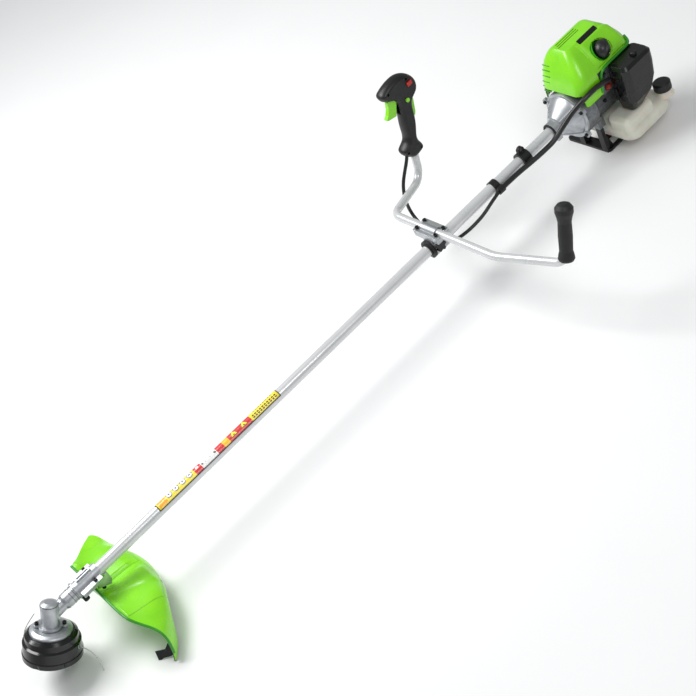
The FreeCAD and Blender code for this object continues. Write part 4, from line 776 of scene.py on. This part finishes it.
def braid(name, base, drift):
    """Braided polyester: diagonal strands two millimetres apart."""
    material, tree, shader, place = start(name, IOR=1.5)
    one = add(tree, "TexWave", {"Vector": place, "Scale": 1000 / 2 / 20, "Distortion": 0.0},
              wave_type="BANDS", bands_direction="DIAGONAL")
    colour = add(tree, "Mix", {0: one.outputs["Fac"], COLOUR_A: linear(base), COLOUR_B: linear(drift)},
                 data_type="RGBA").outputs[MIXED]
    bump = add(tree, "Bump", {"Height": one.outputs["Fac"], "Distance": 0.3 * MM, "Strength": 1.0})
    gloss = add(tree, "MapRange", {"Value": one.outputs["Fac"], "To Min": 0.6, "To Max": 0.8})
    tree.links.new(colour, shader.inputs["Base Color"])
    tree.links.new(gloss.outputs[0], shader.inputs["Roughness"])
    tree.links.new(bump.outputs[0], shader.inputs["Normal"])
    return material


handle_low, handle_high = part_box("starter_handle")
rope_x = (handle_low.x + handle_high.x) / 2
rope_z = (handle_low.z + handle_high.z) / 2
rope_from, rope_to = handle_low.y - 0.012, handle_high.y - 0.006
rope_radius = 1.5 * MM
rope_steps = 12
rope_profile = [(rope_from, 0.0)]
for i in range(rope_steps + 1):
    rope_profile.append((rope_from + (rope_to - rope_from) * i / rope_steps, rope_radius))
rope_profile.append((rope_to, 0.0))
rope_shape = turned_shape(rope_profile, (0, 0, 0), (0, 0, 1), steps=16)
bmesh.ops.rotate(rope_shape, cent=(0, 0, 0), matrix=Matrix.Rotation(math.radians(-90), 3, "X"),
                 verts=rope_shape.verts)
bmesh.ops.translate(rope_shape, vec=(rope_x, 0, rope_z), verts=rope_shape.verts)
bmesh.ops.recalc_face_normals(rope_shape, faces=rope_shape.faces)
rope_mesh = bpy.data.meshes.new("starter_rope")
rope_shape.to_mesh(rope_mesh)
rope_shape.free()
rope = bpy.data.objects.new("starter_rope", rope_mesh)
bpy.context.scene.collection.objects.link(rope)
rope_mesh.materials.append(braid("braided_polyester", "2A2A2C", "57585A"))
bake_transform(rope)
print("starter rope", round((rope_to - rope_from) * 1000, 1), "mm at rest")

# %% [markdown]
# The studio is a pale floor that runs to the horizon, a bright even sky and two large soft lamps. A wide
# lamp overhead gives the long highlights along the tubes, and a second one fills the side near the camera.

# %% Floor and light


def floor_material():
    """Pale matt board with the faintest mottling."""
    material, tree, shader, place = start("pale_board", IOR=1.45, Roughness=0.85)
    clouds = add(tree, "TexNoise", {"Vector": place, "Scale": 3.0, "Detail": 3.0})
    colour = add(tree, "Mix", {0: clouds.outputs[0], COLOUR_A: linear("F7F7F7"), COLOUR_B: linear("F2F2F2")},
                 data_type="RGBA").outputs[MIXED]
    tree.links.new(colour, shader.inputs["Base Color"])
    return material


def sheet_mesh(name, size, height):
    """A square sheet about the middle of the trimmer."""
    shape = bmesh.new()
    bmesh.ops.create_grid(shape, x_segments=1, y_segments=1, size=size)
    middle = (cad_low + cad_high) / 2
    bmesh.ops.translate(shape, vec=(middle.x, middle.y, height), verts=shape.verts)
    mesh = bpy.data.meshes.new(name)
    shape.to_mesh(mesh)
    shape.free()
    sheet = bpy.data.objects.new(name, mesh)
    bpy.context.scene.collection.objects.link(sheet)
    return sheet


floor = sheet_mesh("floor", 20.0, 0.0)
floor.data.materials.append(floor_material())

world = bpy.data.worlds.new("studio")
bpy.context.scene.world = world
world.use_nodes = True
world.node_tree.nodes["Background"].inputs["Color"].default_value = linear("F4F6F8")
world.node_tree.nodes["Background"].inputs["Strength"].default_value = 0.42
bpy.context.scene.view_settings.view_transform = "Standard"


def lamp(name, place, aim, size, power):
    """A square soft box at place that faces aim."""
    data = bpy.data.lights.new(name, "AREA")
    data.shape = "SQUARE"
    data.size = size
    data.energy = power
    light = bpy.data.objects.new(name, data)
    light.location = place
    light.rotation_mode = "QUATERNION"
    light.rotation_quaternion = (Vector(aim) - Vector(place)).to_track_quat("-Z", "Y")
    bpy.context.scene.collection.objects.link(light)
    return light


lamp("overhead_box", (-1.5, 1.3, 2.4), (-0.8, 0.0, 0.1), 1.5, 72.0)
lamp("camera_side_box", (-0.6, -1.8, 2.2), (-0.6, 0.0, 0.15), 1.0, 16.0)
print("floor and two lamps")
